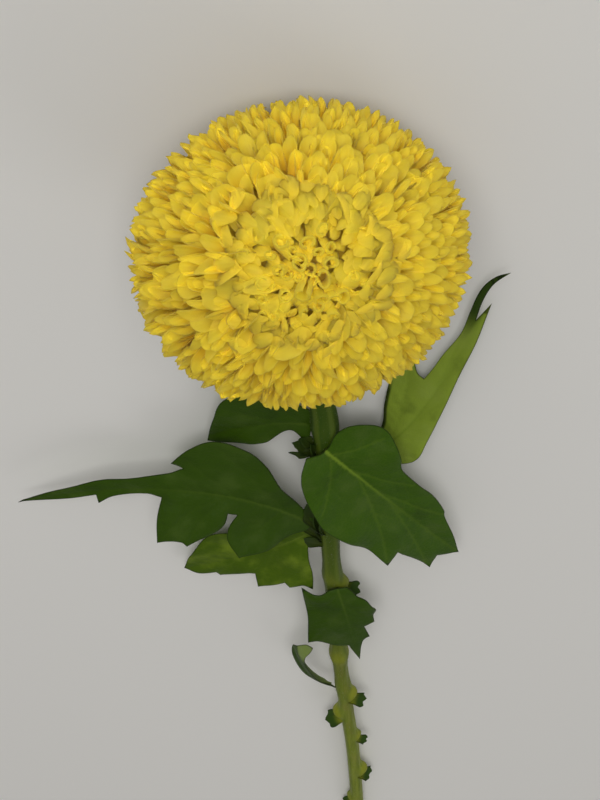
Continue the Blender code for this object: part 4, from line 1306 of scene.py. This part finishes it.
class Shader:
    """A material with a few short ways to add nodes to it."""

    def __init__(self, name, **constants):
        self.material = bpy.data.materials.new(name)
        self.material.use_nodes = True
        self.tree = self.material.node_tree
        self.main = self.tree.nodes["Principled BSDF"]
        for socket, value in constants.items():
            self.main.inputs[socket.replace("_", " ")].default_value = value

    def put(self, socket, value):
        if isinstance(value, bpy.types.NodeSocket):
            self.tree.links.new(value, socket)
        elif socket.type == "RGBA":
            socket.default_value = (*value, 1.0)
        else:
            socket.default_value = value

    def node(self, kind, inputs=None, **settings):
        made = self.tree.nodes.new("ShaderNode" + kind)
        for key, value in settings.items():
            setattr(made, key, value)
        for key, value in (inputs or {}).items():
            self.put(made.inputs[key], value)
        return made

    def attribute(self, name):
        """The three numbers of a vector attribute, and the vector itself."""
        source = self.node("Attribute", attribute_name=name)
        parts = self.node("SeparateXYZ", {"Vector": source.outputs["Vector"]})
        return (*parts.outputs, source.outputs["Vector"])

    def maths(self, operation, a, b=0.0, c=0.0):
        made = self.node("Math", operation=operation)
        for socket, value in zip(made.inputs, (a, b, c)):
            self.put(socket, value)
        return made.outputs[0]

    def stretched(self, vector, scale):
        return self.node("VectorMath", {0: vector, 1: scale}, operation="MULTIPLY").outputs[0]

    def noise(self, vector, scale, detail=3.0):
        inputs = {"Vector": vector, "Scale": scale, "Detail": detail}
        return self.node("TexNoise", inputs).outputs["Fac"]

    def range(self, value, low, high, to_low=0.0, to_high=1.0):
        inputs = {"Value": value, "From Min": low, "From Max": high, "To Min": to_low, "To Max": to_high}
        return self.node("MapRange", inputs, interpolation_type="SMOOTHSTEP").outputs["Result"]

    def mix(self, share, a, b):
        made = self.node("Mix", data_type="RGBA")
        for socket, value in ((made.inputs[0], share), (made.inputs[6], a), (made.inputs[7], b)):
            self.put(socket, value)
        return made.outputs[2]

    def tint(self, base, value, low, high, most, colour):
        """The base, with more of the colour the nearer the value is to high, up to the share most."""
        return self.mix(self.range(value, low, high, 0.0, most), base, colour)

    def finished(self, colour, texture, roughness, height, strength, depth):
        """The material, with a roughness that changes with the texture and a relief in millimetres."""
        relief = self.node("Bump", {"Height": height, "Strength": strength, "Distance": depth * MM})
        sockets = {
            "Base Color": colour,
            "Roughness": self.range(texture, 0.2, 0.8, *roughness),
            "Normal": relief.outputs["Normal"],
        }
        for socket, value in sockets.items():
            self.put(self.main.inputs[socket], value)
        return self.material


def object_coordinates(shader):
    return shader.node("TexCoord").outputs["Object"]


def floret_material():
    shader = Shader(
        "florets",
        Specular_IOR_Level=0.2,
        Sheen_Weight=0.1,
        Sheen_Roughness=0.5,
        Subsurface_Weight=1.0,
        Subsurface_Radius=(0.9, 0.9, 0.3),
        Subsurface_Scale=0.003,
    )
    shader.main.subsurface_method = "BURLEY"
    across, along, tone, place = shader.attribute("place")
    edge = shader.maths("ABSOLUTE", across)
    lines = shader.noise(shader.stretched(place, (7.0, 1.3, 41.0)), 1.0, 2.0)
    patches = shader.noise(object_coordinates(shader), 90.0, 2.0)
    layers = (
        # from the roots' darker orange, painted shade deep in the bloom, to the tips' colour
        (along, 0.35, 0.9, 1.0, "tip"),
        (tone, 0.35, 1.0, 0.5, "pale"),
        # the backs of the petals that bend in: warmer and brighter, painted bounce light
        (tone, 1.0, 1.6, 1.0, "back"),
        # a painted highlight along each floret's edges
        (edge, 0.7, 1.0, 0.4, "edge"),
        (lines, 0.3, 0.7, 0.25, "line"),
        (patches, 0.35, 0.7, 0.3, "patch"),
    )
    colour = FLORET_COLOURS["base"]
    for value, low, high, most, name in layers:
        colour = shader.tint(colour, value, low, high, most, FLORET_COLOURS[name])
    return shader.finished(colour, lines, (0.5, 0.7), lines, 0.35, 0.25)


def leaf_material(
    name, upper, patch, midrib, lower=LEAF_LOWER, rolled_end=None, curl_start=None, tip_start=None
):
    """A leaf's colours, from its LEAF_LOOKS, by its side, its veins and the place on it."""
    shader = Shader(name, Specular_IOR_Level=0.13)
    along, across, side, flat = shader.attribute("flat")
    main, branches, edge, _ = shader.attribute("vein")
    spots = shader.noise(shader.stretched(flat, (1.0, 1.0, 9.0)), 0.11, 4.0)
    cells = shader.node("TexVoronoi", {"Vector": flat, "Scale": 0.9}, feature="DISTANCE_TO_EDGE")
    net = shader.range(cells.outputs["Distance"], 0.0, 0.12)
    above = shader.tint(upper, spots, 0.45, 0.75, 0.8, patch)
    above = shader.tint(above, spots, 0.45, 0.2, 0.35, LEAF_DARK_PATCH)
    above = shader.tint(above, branches, 0.1, 1.0, 0.12, midrib)
    above = shader.mix(shader.range(net, 0.0, 1.0, 0.05, 0.0), above, midrib)
    above = shader.tint(above, main, 0.1, 0.9, 0.8, midrib)
    # painted shade along the rolled left edge
    if rolled_end:
        near_edge = shader.range(edge, 0.6, 1.5, 0.9, 0.0)
        left = shader.maths("MULTIPLY", shader.range(across, -1.0, -3.0), near_edge)
        before = shader.range(along, rolled_end - ROLLED_FADE, rolled_end, 1.0, 0.0)
        above = shader.mix(shader.maths("MULTIPLY", left, before), above, ROLLED_EDGE_SHADE)
    if curl_start:
        right = shader.range(across, 2.4, 3.6)
        beyond = shader.range(along, curl_start, curl_start + CURLED_FADE)
        above = shader.mix(shader.maths("MULTIPLY", right, beyond), above, CURLED_END)
    if tip_start:
        left = shader.range(across, 0.2, -1.6)
        beyond = shader.range(along, tip_start, tip_start + DARK_TIP_FADE)
        above = shader.mix(shader.maths("MULTIPLY", left, beyond), above, DARK_TIP)
    below = shader.tint(lower, spots, 0.3, 0.7, 0.3, patch)
    below = shader.tint(below, branches, 0.1, 1.0, 0.4, BRANCHES_BELOW)
    below = shader.tint(below, main, 0.1, 0.9, 0.6, MIDRIB_BELOW)
    colour = shader.mix(side, below, above)
    colour = shader.mix(shader.range(edge, 0.0, 0.35, 0.7, 0.0), colour, LEAF_RIM)
    grain = shader.noise(flat, 2.2)
    height = shader.maths("MULTIPLY_ADD", net, 0.5, shader.maths("MULTIPLY", grain, 0.5))
    return shader.finished(colour, grain, (0.42, 0.6), height, 0.35, 0.25)


def stem_material():
    shader = Shader("stem", Specular_IOR_Level=0.15)
    rib, distance, inside_it, _ = shader.attribute("place")
    swelling = shader.node("Attribute", attribute_name="swelling").outputs["Fac"]
    where = object_coordinates(shader)
    streaks = shader.noise(shader.stretched(where, (900.0, 60.0, 900.0)), 1.0)
    blotches = shader.noise(shader.stretched(where, (1.0, 0.4, 1.0)), 220.0)
    shades = STEM_COLOURS
    lower = shader.tint(shades["low"], blotches, 0.4, 0.75, 0.6, shades["blotch"])
    # Towards the lower end the stem turns greener, and darker as painted shadow.
    lower = shader.tint(lower, distance, *STEM_END_TURNS, 1.0, shades["end"])
    colour = shader.tint(shades["top"], distance, *STEM_TURNS, 1.0, lower)
    colour = shader.tint(colour, rib, -0.2, 1.0, 0.4, shades["rib"])
    colour = shader.tint(colour, streaks, 0.35, 0.75, 0.4, shades["streak"])
    low_down = shader.range(distance, *STEM_YELLOWS)
    patchy = shader.maths("MULTIPLY_ADD", shader.range(blotches, 0.3, 0.7), 0.6, swelling)
    yellowed = shader.maths("MULTIPLY", shader.range(patchy, 0.5, 1.7, 0.0, 0.9), low_down)
    colour = shader.mix(yellowed, colour, shades["yellowed"])
    colour = shader.mix(inside_it, colour, shades["pith"])
    return shader.finished(colour, streaks, (0.45, 0.65), streaks, 0.4, 0.2)


def green_material(name, inner, tip, rim, change):
    """Bracts, leaf remains, young leaves or down, from base to tip, with another colour along the rim."""
    shader = Shader(name, Specular_IOR_Level=0.15)
    across, along, _, place = shader.attribute("place")
    lines = shader.noise(shader.stretched(place, (6.0, 1.2, 31.0)), 1.0)
    edge = shader.maths("ABSOLUTE", across)
    colour = shader.tint(inner, along, *change, 1.0, tip)
    colour = shader.tint(colour, lines, 0.35, 0.75, 0.5, GREEN_LINE)
    colour = shader.tint(colour, edge, 0.75, 1.0, 0.6, rim)
    return shader.finished(colour, lines, (0.45, 0.65), lines, 0.4, 0.2)


# The stage


def add_stage():
    floor = add_mesh(
        "floor",
        [(x * FLOOR_HALF, y * FLOOR_HALF, 0) for x, y in ((-1, -1), (1, -1), (1, 1), (-1, 1))],
        [(0, 1, 2, 3)],
        Shader("floor", Base_Color=(*FLOOR_COLOUR, 1.0), Roughness=0.9, Specular_IOR_Level=0.1).material,
    )
    world = bpy.data.worlds.new("studio")
    world.use_nodes = True
    background = world.node_tree.nodes["Background"]
    background.inputs["Color"].default_value = (*WORLD_COLOUR, 1.0)
    background.inputs["Strength"].default_value = WORLD_STRENGTH
    bpy.context.scene.world = world
    for name, place, size, power in LAMPS:
        lamp = bpy.data.objects.new(name, bpy.data.lights.new(name, "AREA"))
        lamp.data.size = size
        lamp.data.energy = power
        lamp.location = place
        lamp.rotation_euler = (Vector(place) - Vector(LAMPS_FACE)).to_track_quat("Z", "Y").to_euler()
        lamp.visible_camera = False
        bpy.context.scene.collection.objects.link(lamp)
    bpy.context.scene.view_settings.view_transform = "Standard"


add_camera()
add_stage()
petals = floret_material()
add_core(petals)
add_florets(petals)
greens = {name: green_material(name, *look) for name, look in GREENS.items()}
add_bracts(greens["bracts"])
stem_middle, stem_reach = add_stem(stem_material())
add_stubs(stem_middle, stem_reach, greens["remains"])
add_axil_leaves(stem_middle, stem_reach, greens["young_leaves"])
add_hairs(stem_middle, stem_reach, greens["down"])
leaf_finishes = {name: leaf_material("leaf_" + name, **look) for name, look in LEAF_LOOKS.items()}
for leaf_name, leaf_form in LEAVES.items():
    add_leaf(leaf_name, leaf_form, leaf_finishes[leaf_form.get("look", "dark")])
